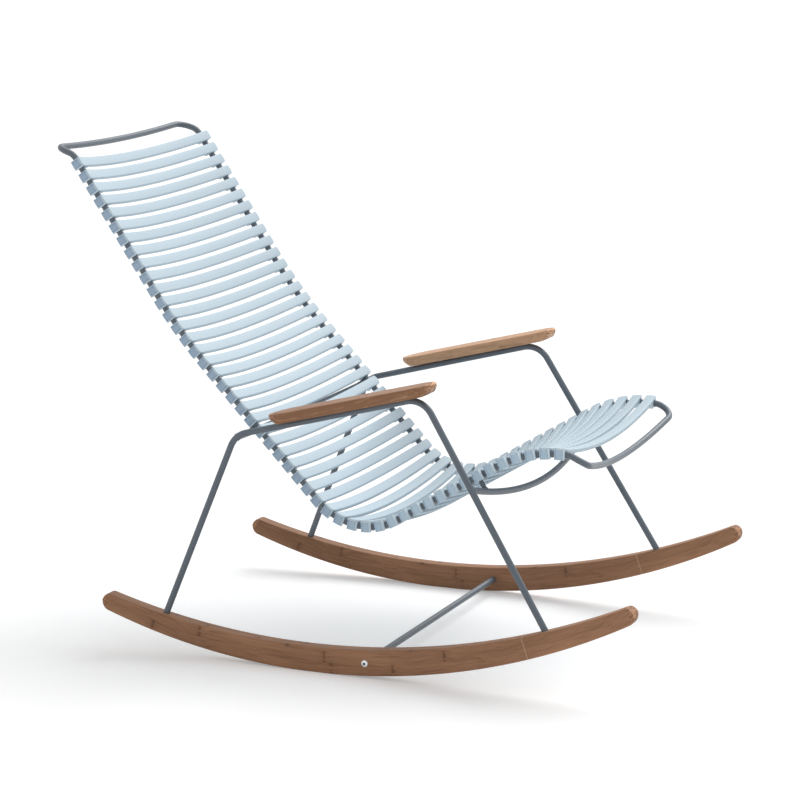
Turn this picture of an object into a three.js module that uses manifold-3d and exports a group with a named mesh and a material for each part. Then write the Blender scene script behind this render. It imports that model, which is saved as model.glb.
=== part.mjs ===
// A rocking chair: plastic slats on a bent steel seat frame, two steel side frames,
// two bamboo armrests and two bamboo rockers.
// Millimetres, +Z up. The chair faces -Y, and the sitter's left is +X.

import * as THREE from 'three';
import Module from 'manifold-3d';
import { mergeVertices } from 'three/addons/utils/BufferGeometryUtils.js';

const wasm = await Module();
wasm.setup();

const degrees = THREE.MathUtils.degToRad;

// Clearances
const touchGap = 0.3; // between two pieces that touch
const clipGap = 0.6; // between a slat's clip and the rail, which also bends under it

// Steel tube, used for every frame and bar
const tubeDiameter = 11;
const tubeSides = 12;

// Rockers: two arcs in the side view, measured from the point that rests on the floor
const rockerThickness = 26;
const rockerDepth = 43;
const rockerFloorRadius = 1162;
const rockerTopRadius = 1329;
const rockerTopShift = 15; // how far behind the floor point the upper arc is lowest
const rockerFrontReach = 551;
const rockerRearReach = 384;
const rockerNose = 13;
const restFlatLength = 60;

// Side frames: where the straight runs of each bent tube would meet
const frameOutset = 63.5; // from a seat rail out to the middle of the rocker
const trackHeight = 52; // where the leaning side frame is that far out
const frameLean = degrees(2.97);
const rearCornerReach = 151.7;
const rearCornerHeight = 383.8;
const armRailLength = 347;
const armRailSlope = degrees(14.6);
const frontLegSlope = degrees(58.5);
const rearLegSlope = degrees(68.3);
const legBendRadius = 40;
const legInsert = 22; // how far a leg's foot goes into the rocker

// Seat frame: its side rail from the top corner down the back and out to the front
const railSpacing = 460; // between the two rails' middles
const topHookRun = 27; // from a top corner to the bend where the back starts
const topHookAngle = degrees(38);
const backSlope = degrees(56.1);
const upperBackLength = 264;
const backBendAngle = degrees(9.7);
const backBendRadius = 904;
const aboveMountLength = 131; // straight lower back above the rear crossbar
const belowMountLength = 166; // and below it
const hipBendAngle = degrees(77.5);
const hipBendRadius = 114.6;
const seatLength = 203;
const lipBendAngle = degrees(31.8);
const lipBendRadius = 209.5;
const lipLength = 10;
const lipHookAngle = degrees(25);
const lipHookRun = 26; // from the bend where the lip ends to a front corner
const hookRadius = 25;
const cornerRadius = 24;
const topBarBow = 8;
const lipBarBow = 34;

// Crossbars between the side frames, with stubs that carry the seat frame
const rearStandoff = 18.7; // from the rear crossbar's end to the seat rail's line
const frontStandoff = 14; // and from the front crossbar's end
const frontCrossbarBow = 43;
const slatClearance = 1.5; // between the rear crossbar and the slats that sag towards it

// Stubs that join tubes, and studs that carry the armrests
const stubDiameter = 8;
const stubSides = 8;

// Slats
const slatCount = 48;
const slatOverhang = 12.5; // past the middle of each rail
const slatWidth = 17.6;
const slatDepth = 7;
const slatSag = 26;
const slatEndMargin = 1; // from an end slat's side to the hook's bend
const blockRise = 12.5; // the end block's top above the rail's middle
const blockSkirt = 2.3; // how far the end block reaches below the rail
const clipLugWidth = 5;
const clipWrap = degrees(30); // how far the clip closes round the rail past its middle
const blockHaunch = 16; // sloped step from the end block to the thin middle
const recessDepth = 3;
const recessRim = 1.8;

// Armrests
const armrestLength = 302;
const armrestWidth = 64;
const armrestThickness = 17.5;
const armrestEndRound = 40;
const armrestFrontUndercut = 14;
const armrestRearUndercut = 21;
const armrestLip = 6;
const armrestSlope = degrees(14.1);
const armrestRise = 5.8; // from the rail's middle to the armrest's underside, at the front stud
const armrestOverhang = 31; // past the front corner of the side frame
const armrestOffset = 9.5; // from the rail's middle outwards to the armrest's
const armrestStudInset = 75; // from an armrest's end to the stud that carries it

// Rocker bar and its bolts
const rockerBarForward = 96;
const boltShankDiameter = 6;
const boltHeadDiameter = 12;
const boltHeadHeight = 3.5;
const boltRimHeight = 1.2;
const boltSocketWidth = 4;
const boltSocketDepth = 2;
const boltGrip = 20; // how far the shank goes into the bar
const boltSides = 20;
const boltSocketSides = 6;

// Numbers and sizes of the flats that make up round stretches
const bendSagitta = 0.15; // how far a flat stands off the true bend
const slatArcSteps = 8;
const clipArcSteps = 8;
const barArcSteps = 6;
const cornerSteps = 5;
const rockerFacetLength = 46;
const noseSteps = 6;
const endRoundSteps = 10;
const headDomeSteps = 3;

// What follows from these sizes
const tubeRadius = tubeDiameter / 2;
const railReach = railSpacing / 2;
const rockerReach = railReach + frameOutset;
const acrossChair = new THREE.Vector3(1, 0, 0);

// Side views have Y to the right and Z up
const sidePoint = (y, z) => new THREE.Vector2(y, z);
const inSpace = (x, point) => new THREE.Vector3(x, point.x, point.y);
const headingVector = (heading) => sidePoint(Math.cos(heading), Math.sin(heading));
const sideView = new THREE.Matrix4().makeBasis(
  new THREE.Vector3(0, 1, 0),
  new THREE.Vector3(0, 0, 1),
  acrossChair,
);

// Solids

function solidOf(geometry) {
  const bare = geometry.clone();
  bare.deleteAttribute('normal');
  bare.deleteAttribute('uv');
  const merged = mergeVertices(bare);
  return new wasm.Manifold(new wasm.Mesh({
    numProp: 3,
    vertProperties: merged.getAttribute('position').array,
    triVerts: new Uint32Array(merged.index.array),
  }));
}

function geometryOf(solid) {
  const mesh = solid.getMesh();
  const geometry = new THREE.BufferGeometry();
  geometry.setAttribute('position', new THREE.BufferAttribute(mesh.vertProperties, 3));
  geometry.setIndex(new THREE.BufferAttribute(mesh.triVerts, 1));
  const faceted = geometry.toNonIndexed();
  faceted.computeVertexNormals();
  return faceted;
}

// The same shape on the other side of the chair, its faces still pointing out
function mirrored(geometry) {
  const twin = geometry.index ? geometry.toNonIndexed() : geometry.clone();
  twin.scale(-1, 1, 1);
  const position = twin.getAttribute('position');
  const first = new THREE.Vector3();
  const last = new THREE.Vector3();
  for (let corner = 0; corner < position.count; corner += 3) {
    first.fromBufferAttribute(position, corner);
    last.fromBufferAttribute(position, corner + 2);
    position.setXYZ(corner, last.x, last.y, last.z);
    position.setXYZ(corner + 2, first.x, first.y, first.z);
  }
  twin.computeVertexNormals();
  return twin;
}

function rod(from, to, radius, sides) {
  const along = to.clone().sub(from);
  const geometry = new THREE.CylinderGeometry(radius, radius, along.length(), sides);
  const turn = new THREE.Quaternion();
  turn.setFromUnitVectors(new THREE.Vector3(0, 1, 0), along.normalize());
  const middle = from.clone().add(to).divideScalar(2);
  return geometry.applyQuaternion(turn).translate(middle.x, middle.y, middle.z);
}

// Tubes

// A centreline known by its stations, each a point and the direction there
class Centreline extends THREE.Curve {
  constructor(stations) {
    super();
    this.stations = stations;
  }

  stationAt(share) {
    return this.stations[Math.round(share * (this.stations.length - 1))];
  }

  getPoint(share, target = new THREE.Vector3()) {
    return target.copy(this.stationAt(share).point);
  }

  getTangent(share, target = new THREE.Vector3()) {
    return target.copy(this.stationAt(share).direction);
  }

  getUtoTmapping(share) {
    return share;
  }
}

function tube(stations, radius) {
  const section = [];
  for (let side = 0; side < tubeSides; side += 1) {
    const angle = (side / tubeSides) * 2 * Math.PI;
    section.push(new THREE.Vector2(radius * Math.cos(angle), radius * Math.sin(angle)));
  }
  return new THREE.ExtrudeGeometry(new THREE.Shape(section), {
    steps: stations.length - 1,
    extrudePath: new Centreline(stations),
  });
}

// A route in the side view, built from straight runs and round bends
class Route {
  constructor(start, heading) {
    this.moves = [];
    this.end = { point: start, heading };
    this.length = 0;
  }

  add(length, radius, name) {
    const move = { name, start: this.end, from: this.length, length, radius };
    this.moves.push(move);
    this.length += length;
    this.end = this.along(move, length);
    return this;
  }

  run(length, name) {
    return this.add(length, Infinity, name);
  }

  bend(angle, radius, name) {
    return this.add(Math.abs(angle) * radius, Math.sign(angle) * radius, name);
  }

  move(name) {
    return this.moves.find((move) => move.name === name);
  }

  along(move, distance) {
    const { point, heading } = move.start;
    if (move.radius === Infinity) {
      return { point: point.clone().addScaledVector(headingVector(heading), distance), heading };
    }
    const turned = heading + distance / move.radius;
    const centre = point.clone().addScaledVector(headingVector(heading + Math.PI / 2), move.radius);
    const reached = centre.addScaledVector(headingVector(turned - Math.PI / 2), move.radius);
    return { point: reached, heading: turned };
  }

  at(distance) {
    const reached = this.moves.filter((move) => move.from <= distance);
    const move = reached[reached.length - 1];
    return this.along(move, distance - move.from);
  }

  // Where a tube along part of the route needs a ring
  ringDistances(from, to) {
    const rings = [];
    for (const move of this.moves) {
      const radius = Math.abs(move.radius);
      const flatAngle = 2 * Math.acos(1 - bendSagitta / radius);
      const steps = radius === Infinity ? 1 : Math.ceil(move.length / (radius * flatAngle));
      for (let step = 0; step < steps; step += 1) {
        rings.push(move.from + (step / steps) * move.length);
      }
    }
    return [from, ...rings.filter((distance) => distance > from && distance < to), to];
  }
}

// How far along a line, from a point in a direction, it meets another line
function lineMeet(point, direction, otherPoint, otherDirection) {
  return otherPoint.clone().sub(point).cross(otherDirection) / direction.cross(otherDirection);
}

// Rockers

const halfFlat = restFlatLength / 2;
const floorCentre = sidePoint(0, Math.sqrt(rockerFloorRadius ** 2 - halfFlat ** 2));
const topCentre = sidePoint(rockerTopShift, rockerDepth + rockerTopRadius);

function arcPoint(centre, radius, y) {
  return sidePoint(y, centre.y - Math.sqrt(radius ** 2 - (y - centre.x) ** 2));
}

const floorPoint = (y) => arcPoint(floorCentre, rockerFloorRadius, y);
const topPoint = (y) => arcPoint(topCentre, rockerTopRadius, y);

function spread(from, to, spacing) {
  const steps = Math.ceil(Math.abs(to - from) / spacing);
  return Array.from({ length: steps + 1 }, (_, step) => from + (step / steps) * (to - from));
}

// The rounded nose from the end of one arc to the start of the other
function nosePoints(from, to, outward) {
  const middle = from.clone().lerp(to, 1 / 2);
  const half = from.clone().sub(middle);
  const points = [];
  for (let step = 1; step < noseSteps; step += 1) {
    const angle = (step / noseSteps) * Math.PI;
    const point = middle.clone().addScaledVector(half, Math.cos(angle));
    points.push(point.addScaledVector(outward, rockerNose * Math.sin(angle)));
  }
  return points;
}

function rockerOutline() {
  const frontSlope = Math.asin(rockerFrontReach / rockerFloorRadius);
  const rearSlope = Math.asin(rockerRearReach / rockerFloorRadius);
  const front = floorPoint(-rockerFrontReach);
  const rear = floorPoint(rockerRearReach);
  const frontTop = topPoint(-rockerFrontReach + (rockerDepth * Math.sin(frontSlope)) / 2);
  const rearTop = topPoint(rockerRearReach - (rockerDepth * Math.sin(rearSlope)) / 2);
  return [
    ...spread(front.x, -halfFlat, rockerFacetLength).map(floorPoint),
    ...spread(halfFlat, rear.x, rockerFacetLength).map(floorPoint),
    ...nosePoints(rear, rearTop, headingVector(rearSlope)),
    ...spread(rearTop.x, frontTop.x, rockerFacetLength).map(topPoint),
    ...nosePoints(frontTop, front, headingVector(Math.PI - frontSlope)),
  ];
}

// Side frames, in the side view

const rearCorner = sidePoint(rearCornerReach, rearCornerHeight);
const railHeading = -armRailSlope;
const frontCorner = rearCorner.clone().addScaledVector(headingVector(railHeading), -armRailLength);
const frontTurn = frontLegSlope + armRailSlope;
const rearTurn = rearLegSlope - armRailSlope;
const frontTrim = legBendRadius * Math.tan(frontTurn / 2);
const rearTrim = legBendRadius * Math.tan(rearTurn / 2);
const downFrontLeg = headingVector(frontLegSlope).negate();
const downRearLeg = headingVector(-rearLegSlope);

// How far down a leg from its corner the rocker's upper arc lies
function legReach(corner, downward) {
  const fromCentre = corner.clone().sub(topCentre);
  const nearest = fromCentre.dot(downward);
  return Math.sqrt(nearest ** 2 - fromCentre.lengthSq() + rockerTopRadius ** 2) - nearest;
}

const frontReach = legReach(frontCorner, downFrontLeg);
const rearReach = legReach(rearCorner, downRearLeg);

function sideFrameRoute(insert) {
  const foot = frontCorner.clone().addScaledVector(downFrontLeg, frontReach + insert);
  return new Route(foot, frontLegSlope)
    .run(frontReach + insert - frontTrim)
    .bend(-frontTurn, legBendRadius)
    .run(armRailLength - frontTrim - rearTrim)
    .bend(-rearTurn, legBendRadius, 'rear bend')
    .run(rearReach + insert - rearTrim);
}

// A place or direction in the side view, moved out to the leaning side frame on the left
const leanRatio = Math.tan(frameLean);
const ontoFrame = (point) => inSpace(rockerReach - leanRatio * (point.y - trackHeight), point);
const alongFrame = (direction) => inSpace(-leanRatio * direction.y, direction).normalize();

function sideFrameTube(insert, radius) {
  const route = sideFrameRoute(insert);
  const stations = route.ringDistances(0, route.length).map((distance) => {
    const { point, heading } = route.at(distance);
    return { point: ontoFrame(point), direction: alongFrame(headingVector(heading)) };
  });
  return tube(stations, radius);
}

const sideFrameCutter = sideFrameTube(legInsert + touchGap, tubeRadius + touchGap);
const leftFrameCutter = solidOf(sideFrameCutter);
const rightFrameCutter = solidOf(mirrored(sideFrameCutter));

// The armrest's own directions, and the middle of its underside
const rearward = alongFrame(headingVector(-armrestSlope));
const inward = acrossChair.clone().negate();
inward.addScaledVector(rearward, -inward.dot(rearward)).normalize();
const upward = rearward.clone().cross(inward);
const frontStudReach = armrestStudInset - armrestOverhang;
const frontStudPoint = frontCorner.clone().addScaledVector(headingVector(railHeading), frontStudReach);
const armrestMiddle = ontoFrame(frontStudPoint)
  .addScaledVector(rearward, armrestLength / 2 - armrestStudInset)
  .addScaledVector(inward, -armrestOffset)
  .addScaledVector(upward, armrestRise);

// A stud from the arm rail up to the armrest, at a place along the armrest from its middle
const studReach = armrestLength / 2 - armrestStudInset;

function armrestStud(along) {
  const railDrop = (along + studReach) * Math.tan(armRailSlope - armrestSlope);
  const head = armrestMiddle.clone()
    .addScaledVector(rearward, along)
    .addScaledVector(inward, armrestOffset);
  const foot = head.clone().addScaledVector(upward, -armrestRise - railDrop);
  head.addScaledVector(upward, -touchGap);
  return solidOf(rod(foot, head, stubDiameter / 2, stubSides));
}

const sideFrame = solidOf(sideFrameTube(legInsert, tubeRadius))
  .add(armrestStud(-studReach))
  .add(armrestStud(studReach));

// The seat rail, in the side view: down the back and out to the front

const sitterSide = (heading) => headingVector(heading - Math.PI / 2);

function seatRoute(start) {
  return new Route(start, backSlope - topHookAngle - Math.PI)
    .run(topHookRun)
    .bend(topHookAngle, hookRadius)
    .run(upperBackLength, 'upper back')
    .bend(-backBendAngle, backBendRadius)
    .run(aboveMountLength)
    .run(belowMountLength, 'below mount')
    .bend(-hipBendAngle, hipBendRadius)
    .run(seatLength, 'seat')
    .bend(lipBendAngle, lipBendRadius)
    .run(lipLength)
    .bend(lipHookAngle, hookRadius, 'lip hook')
    .run(lipHookRun);
}

// The rear crossbar joins the side frames in the middle of their rear bends,
// and the seat rail passes it at the rear standoff
const frameRoute = sideFrameRoute(legInsert);
const rearBend = frameRoute.move('rear bend');
const rearJoint = frameRoute.at(rearBend.from + rearBend.length / 2).point;
const looseMount = seatRoute(sidePoint(0, 0)).move('below mount').start;
const backSide = sitterSide(looseMount.heading);
const mountedPoint = rearJoint.clone().addScaledVector(backSide, rearStandoff);
const seatRail = seatRoute(mountedPoint.sub(looseMount.point));

// The front crossbar joins the front legs at the front standoff below the straight seat
const seatStart = seatRail.move('seat').start;
const seatSide = sitterSide(seatStart.heading);
const underSeat = seatStart.point.clone().addScaledVector(seatSide, -frontStandoff);
const frontJointReach = lineMeet(frontCorner, downFrontLeg, underSeat, headingVector(seatStart.heading));
const frontJoint = frontCorner.clone().addScaledVector(downFrontLeg, frontJointReach);

// A round bow across the chair, between ends at +-reach, that sinks away from the sitter
class Bow {
  constructor(end, reach, sag, side) {
    this.end = end;
    this.sag = sag;
    this.side = side;
    this.radius = (reach ** 2 + sag ** 2) / (2 * sag);
    this.halfAngle = Math.asin(reach / this.radius);
  }

  sunk(angle) {
    return this.sag - this.radius * (1 - Math.cos(angle));
  }

  station(angle) {
    const middle = this.end.clone().addScaledVector(this.side, -this.sunk(angle));
    return {
      point: inSpace(this.radius * Math.sin(angle), middle),
      direction: inSpace(Math.cos(angle), this.side.clone().multiplyScalar(Math.sin(angle))),
    };
  }
}

// The seat frame is one closed loop, made as two halves that meet in the middle

// A round corner between two directions that would meet at a point
function roundCorner(corner, inward, outward) {
  const turn = inward.angleTo(outward);
  const trim = cornerRadius * Math.tan(turn / 2);
  const sideways = outward.clone().addScaledVector(inward, -Math.cos(turn)).normalize();
  const start = corner.clone().addScaledVector(inward, -trim);
  const stations = [];
  for (let step = 0; step <= cornerSteps; step += 1) {
    const angle = (step / cornerSteps) * turn;
    const point = start.clone()
      .addScaledVector(inward, cornerRadius * Math.sin(angle))
      .addScaledVector(sideways, cornerRadius * (1 - Math.cos(angle)));
    const direction = inward.clone().multiplyScalar(Math.cos(angle));
    stations.push({ point, direction: direction.addScaledVector(sideways, Math.sin(angle)) });
  }
  return { trim, stations };
}

// Stations from the middle of a bowed bar towards the left corner
function halfBar(bow, trim) {
  const stations = [];
  for (let step = 0; step < barArcSteps; step += 1) {
    stations.push(bow.station((step / barArcSteps) * (bow.halfAngle - trim / bow.radius)));
  }
  return stations;
}

const backwards = ({ point, direction }) => ({ point, direction: direction.clone().negate() });

function halfLoopStations() {
  const top = seatRail.at(0);
  const lip = seatRail.at(seatRail.length);
  const topBow = new Bow(top.point, railReach, topBarBow, sitterSide(top.heading));
  const lipBow = new Bow(lip.point, railReach, lipBarBow, sitterSide(lip.heading));
  const topEnd = topBow.station(topBow.halfAngle);
  const lipEnd = backwards(lipBow.station(lipBow.halfAngle));
  const topCorner = roundCorner(topEnd.point, topEnd.direction, inSpace(0, headingVector(top.heading)));
  const lipCorner = roundCorner(lipEnd.point, inSpace(0, headingVector(lip.heading)), lipEnd.direction);
  const rings = seatRail.ringDistances(topCorner.trim, seatRail.length - lipCorner.trim);
  const railStations = rings.slice(1, -1).map((distance) => {
    const { point, heading } = seatRail.at(distance);
    return { point: inSpace(railReach, point), direction: inSpace(0, headingVector(heading)) };
  });
  return [
    ...halfBar(topBow, topCorner.trim),
    ...topCorner.stations,
    ...railStations,
    ...lipCorner.stations,
    ...halfBar(lipBow, lipCorner.trim).map(backwards).reverse(),
  ];
}

function seatLoop(radius) {
  const half = tube(halfLoopStations(), radius);
  return solidOf(half).add(solidOf(mirrored(half)));
}

const seatFrame = seatLoop(tubeRadius);
const seatFrameCutter = seatLoop(tubeRadius + touchGap);

// Crossbars: each a bowed tube between the side frames, with two stubs up to the seat rails

function crossbar(joint, standoff, sag, side) {
  const bow = new Bow(joint, ontoFrame(joint).x, sag, side);
  const stations = [];
  for (let step = -barArcSteps; step <= barArcSteps; step += 1) {
    stations.push(bow.station((step / barArcSteps) * bow.halfAngle));
  }
  const stubAngle = Math.asin(railReach / bow.radius);
  let solid = solidOf(tube(stations, tubeRadius));
  for (const angle of [-stubAngle, stubAngle]) {
    const foot = bow.station(angle).point;
    const head = foot.clone().addScaledVector(inSpace(0, side), standoff + bow.sunk(angle));
    solid = solid.add(solidOf(rod(foot, head, stubDiameter / 2, stubSides)));
  }
  return solid.subtract(leftFrameCutter).subtract(rightFrameCutter).subtract(seatFrameCutter);
}

// The rear crossbar bows just enough to stay clear of the slats that sag in front of it
const rearCrossbarBow = slatSag + slatDepth - blockRise + slatClearance + tubeRadius - rearStandoff;
const rearCrossbar = crossbar(rearJoint, rearStandoff, rearCrossbarBow, backSide);
const frontCrossbar = crossbar(frontJoint, frontStandoff, frontCrossbarBow, seatSide);

// Slats: drawn in the plane across the rails, with the rail's middle at height zero

const slatReach = railReach + slatOverhang;
const slatRadius = (slatReach ** 2 + slatSag ** 2) / (2 * slatSag);
const blockBottom = -tubeRadius - blockSkirt;
const clipFacetAngle = (Math.PI + 2 * clipWrap) / clipArcSteps;
const clipRadius = (tubeRadius + clipGap) / Math.cos(clipFacetAngle / 2);
const lugReach = railReach - clipRadius - clipLugWidth;
const haunchReach = lugReach - blockHaunch;

// Height of the slat's bowed face, or of its underside when lowered by its depth
function slatFace(x, lowered) {
  const radius = slatRadius + lowered;
  return blockRise - slatSag + slatRadius - Math.sqrt(radius ** 2 - x ** 2);
}

function clipPoints() {
  const points = [];
  for (let step = 0; step <= clipArcSteps; step += 1) {
    const angle = -clipWrap + step * clipFacetAngle;
    points.push(new THREE.Vector2(railReach + clipRadius * Math.cos(angle), clipRadius * Math.sin(angle)));
  }
  return points;
}

// Half of the underside, from the end face in towards the middle
function slatUnderside() {
  const clip = clipPoints();
  const mouthOuter = clip[0].x;
  const mouthInner = clip[clip.length - 1].x;
  return [
    new THREE.Vector2(slatReach, blockBottom),
    new THREE.Vector2(mouthOuter, blockBottom),
    ...clip,
    new THREE.Vector2(mouthInner, blockBottom),
    new THREE.Vector2(lugReach, blockBottom),
  ];
}

function slatOutline() {
  const underside = slatUnderside();
  const otherUnderside = underside.map(({ x, y }) => new THREE.Vector2(-x, y)).reverse();
  const shares = Array.from({ length: slatArcSteps + 1 }, (_, step) => (2 * step) / slatArcSteps - 1);
  const face = shares.map((share) => new THREE.Vector2(share * slatReach, slatFace(share * slatReach, 0)));
  const belly = shares.map((share) => share * haunchReach);
  return [
    ...face,
    ...underside,
    ...belly.reverse().map((x) => new THREE.Vector2(x, slatFace(x, slatDepth))),
    ...otherUnderside,
  ];
}

function slatGeometry() {
  const body = new THREE.ExtrudeGeometry(new THREE.Shape(slatOutline()), {
    depth: slatWidth,
    bevelEnabled: false,
  });
  let solid = solidOf(body.translate(0, 0, -slatWidth / 2));
  const recessHeight = blockRise - recessRim - blockBottom;
  for (const end of [-1, 1]) {
    const recess = new THREE.BoxGeometry(2 * recessDepth, 2 * recessHeight, slatWidth - 2 * recessRim);
    solid = solid.subtract(solidOf(recess.translate(end * slatReach, blockBottom, 0)));
  }
  return geometryOf(solid);
}

// Armrests: drawn flat, with X rearwards along the rail, Y towards the chair's middle and Z up

function armrestPlan() {
  const halfWidth = armrestWidth / 2;
  const straight = armrestLength / 2 - armrestEndRound;
  const points = [];
  for (let end = -1; end <= 1; end += 2) {
    for (let step = 0; step <= endRoundSteps; step += 1) {
      const angle = (step / endRoundSteps) * Math.PI;
      const x = end * (straight + armrestEndRound * Math.sin(angle));
      points.push(new THREE.Vector2(x, end * -halfWidth * Math.cos(angle)));
    }
  }
  return points;
}

function armrestSide() {
  const half = armrestLength / 2;
  const lipHeight = armrestThickness - armrestLip;
  return [
    new THREE.Vector2(-half + armrestFrontUndercut, 0),
    new THREE.Vector2(half - armrestRearUndercut, 0),
    new THREE.Vector2(half, lipHeight),
    new THREE.Vector2(half, armrestThickness),
    new THREE.Vector2(-half, armrestThickness),
    new THREE.Vector2(-half, lipHeight),
  ];
}

function armrest() {
  const plan = new THREE.ExtrudeGeometry(new THREE.Shape(armrestPlan()), {
    depth: armrestThickness,
    bevelEnabled: false,
  });
  const side = new THREE.ExtrudeGeometry(new THREE.Shape(armrestSide()), {
    depth: armrestWidth,
    bevelEnabled: false,
  });
  side.rotateX(Math.PI / 2).translate(0, armrestWidth / 2, 0);
  const place = new THREE.Matrix4().makeBasis(rearward, inward, upward).setPosition(armrestMiddle);
  plan.applyMatrix4(place);
  side.applyMatrix4(place);
  return geometryOf(solidOf(plan).intersect(solidOf(side)).subtract(leftFrameCutter));
}

// Rockers, the bar between them and its bolts

const boltMiddle = floorPoint(-rockerBarForward)
  .add(topPoint(-rockerBarForward))
  .divideScalar(2);
const rockerInner = rockerReach - rockerThickness / 2;
const rockerOuter = rockerReach + rockerThickness / 2;
const barReach = rockerInner - touchGap;
const boltHole = boltShankDiameter / 2 + touchGap;

function rocker() {
  const plank = new THREE.ExtrudeGeometry(new THREE.Shape(rockerOutline()), {
    depth: rockerThickness,
    bevelEnabled: false,
  });
  plank.applyMatrix4(sideView).translate(rockerInner, 0, 0);
  const from = inSpace(rockerInner - boltGrip, boltMiddle);
  const to = inSpace(rockerOuter + boltGrip, boltMiddle);
  const hole = rod(from, to, boltHole, boltSides);
  return geometryOf(solidOf(plank).subtract(leftFrameCutter).subtract(solidOf(hole)));
}

function rockerBar() {
  const stations = [-1, 1].map((end) => ({
    point: inSpace(end * barReach, boltMiddle),
    direction: acrossChair,
  }));
  let solid = solidOf(tube(stations, tubeRadius));
  for (const end of [-1, 1]) {
    const bottom = inSpace(end * (barReach - boltGrip - touchGap), boltMiddle);
    const mouth = inSpace(end * (barReach + boltGrip), boltMiddle);
    solid = solid.subtract(solidOf(rod(bottom, mouth, boltHole, boltSides)));
  }
  return geometryOf(solid);
}

// A button-head bolt, drawn along Y with the underside of its head at zero
function bolt() {
  const shankRadius = boltShankDiameter / 2;
  const headRadius = boltHeadDiameter / 2;
  const shankLength = rockerThickness + 2 * touchGap + boltGrip;
  const domeHeight = boltHeadHeight - boltRimHeight;
  const profile = [
    new THREE.Vector2(0, -shankLength),
    new THREE.Vector2(shankRadius, -shankLength),
    new THREE.Vector2(shankRadius, 0),
    new THREE.Vector2(headRadius, 0),
  ];
  for (let step = 0; step <= headDomeSteps; step += 1) {
    const angle = (step / headDomeSteps) * (Math.PI / 2);
    const radius = step === headDomeSteps ? 0 : headRadius * Math.cos(angle);
    profile.push(new THREE.Vector2(radius, boltRimHeight + domeHeight * Math.sin(angle)));
  }
  const body = new THREE.LatheGeometry(profile, boltSides);
  const socketRadius = boltSocketWidth / 2 / Math.cos(Math.PI / boltSocketSides);
  const socketHeight = 2 * boltSocketDepth;
  const socket = new THREE.CylinderGeometry(socketRadius, socketRadius, socketHeight, boltSocketSides);
  const solid = solidOf(body).subtract(solidOf(socket.translate(0, boltHeadHeight, 0)));
  const geometry = geometryOf(solid).rotateZ(-Math.PI / 2);
  return geometry.translate(rockerOuter + touchGap, boltMiddle.x, boltMiddle.y);
}

// Materials

function material(color, roughness, metalness) {
  return () => new THREE.MeshStandardMaterial({ color, roughness, metalness });
}

const paintedSteel = material('#5a646c', 0.5, 0.3);
const slatPlastic = material('#c8d8e2', 0.55, 0);
const bamboo = material('#7d5841', 0.6, 0);
const stainlessSteel = material('#b9bcbe', 0.35, 0.9);

// The chair

const chair = new THREE.Group();

function place(name, geometry, makeMaterial) {
  const mesh = new THREE.Mesh(geometry, makeMaterial());
  mesh.name = name;
  chair.add(mesh);
  return mesh;
}

function placePair(name, geometry, makeMaterial) {
  place(`${name}_left`, geometry, makeMaterial);
  place(`${name}_right`, mirrored(geometry), makeMaterial);
}

placePair('rocker', rocker(), bamboo);
placePair('side_frame', geometryOf(sideFrame), paintedSteel);
placePair('armrest', armrest(), bamboo);
placePair('rocker_bolt', bolt(), stainlessSteel);
place('rocker_bar', rockerBar(), paintedSteel);
place('seat_frame', geometryOf(seatFrame), paintedSteel);
place('rear_crossbar', geometryOf(rearCrossbar), paintedSteel);
place('front_crossbar', geometryOf(frontCrossbar), paintedSteel);

// The slats share out the rail between its two hooks
const endSlatInset = slatWidth / 2 + slatEndMargin;
const firstSlatAt = seatRail.move('upper back').from + endSlatInset;
const lastSlatAt = seatRail.move('lip hook').from - endSlatInset;
const slatPitch = (lastSlatAt - firstSlatAt) / (slatCount - 1);
const slat = slatGeometry();
for (let index = 0; index < slatCount; index += 1) {
  const { point, heading } = seatRail.at(firstSlatAt + index * slatPitch);
  const mesh = place(`slat_${String(index + 1).padStart(2, '0')}`, slat, slatPlastic);
  mesh.position.copy(inSpace(0, point));
  mesh.rotation.x = heading - Math.PI / 2;
}

// The origin is on the floor below the middle of the chair's overall length
const overall = new THREE.Box3().setFromObject(chair);
chair.position.y = -(overall.min.y + overall.max.y) / 2;

export default chair;
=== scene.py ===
"""Looks for a slatted rocking chair: bent steel tube, bowed plastic slats, bamboo armrests and rockers.

Metres, +Z up. The chair faces -Y, and the sitter's left is +X.
"""

import math
from functools import partial

import bmesh
import bpy
import numpy as np
from mathutils import Matrix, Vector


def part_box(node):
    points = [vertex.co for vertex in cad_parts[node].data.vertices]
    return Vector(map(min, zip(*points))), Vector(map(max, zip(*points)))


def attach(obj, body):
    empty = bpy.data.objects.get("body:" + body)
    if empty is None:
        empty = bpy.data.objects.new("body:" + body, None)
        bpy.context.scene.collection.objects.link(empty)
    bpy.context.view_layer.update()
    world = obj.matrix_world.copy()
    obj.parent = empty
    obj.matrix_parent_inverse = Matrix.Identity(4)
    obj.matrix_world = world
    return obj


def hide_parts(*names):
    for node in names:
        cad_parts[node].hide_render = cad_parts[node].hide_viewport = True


bl_info = {
    "name": "Slatted Rocking Chair",
    "version": (1, 0, 0),
    "blender": (4, 5, 0),
    "location": "3D View > Sidebar > Rocking Chair",
    "description": "Builds the tubes, slats, bamboo and bolts of a rocking chair on its packed frame",
    "category": "Object",
}

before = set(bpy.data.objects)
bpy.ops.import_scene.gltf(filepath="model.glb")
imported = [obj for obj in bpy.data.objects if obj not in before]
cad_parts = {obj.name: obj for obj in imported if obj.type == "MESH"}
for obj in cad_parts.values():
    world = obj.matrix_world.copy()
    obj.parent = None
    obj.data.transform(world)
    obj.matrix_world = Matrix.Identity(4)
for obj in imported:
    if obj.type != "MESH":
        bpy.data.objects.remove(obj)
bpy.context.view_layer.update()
BODY = "root"
ACROSS = np.array([1.0, 0.0, 0.0])
WHITE = (1, 1, 1, 1)
# A small step that keeps two surfaces from meeting
SLIVER = 0.0001
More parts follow.
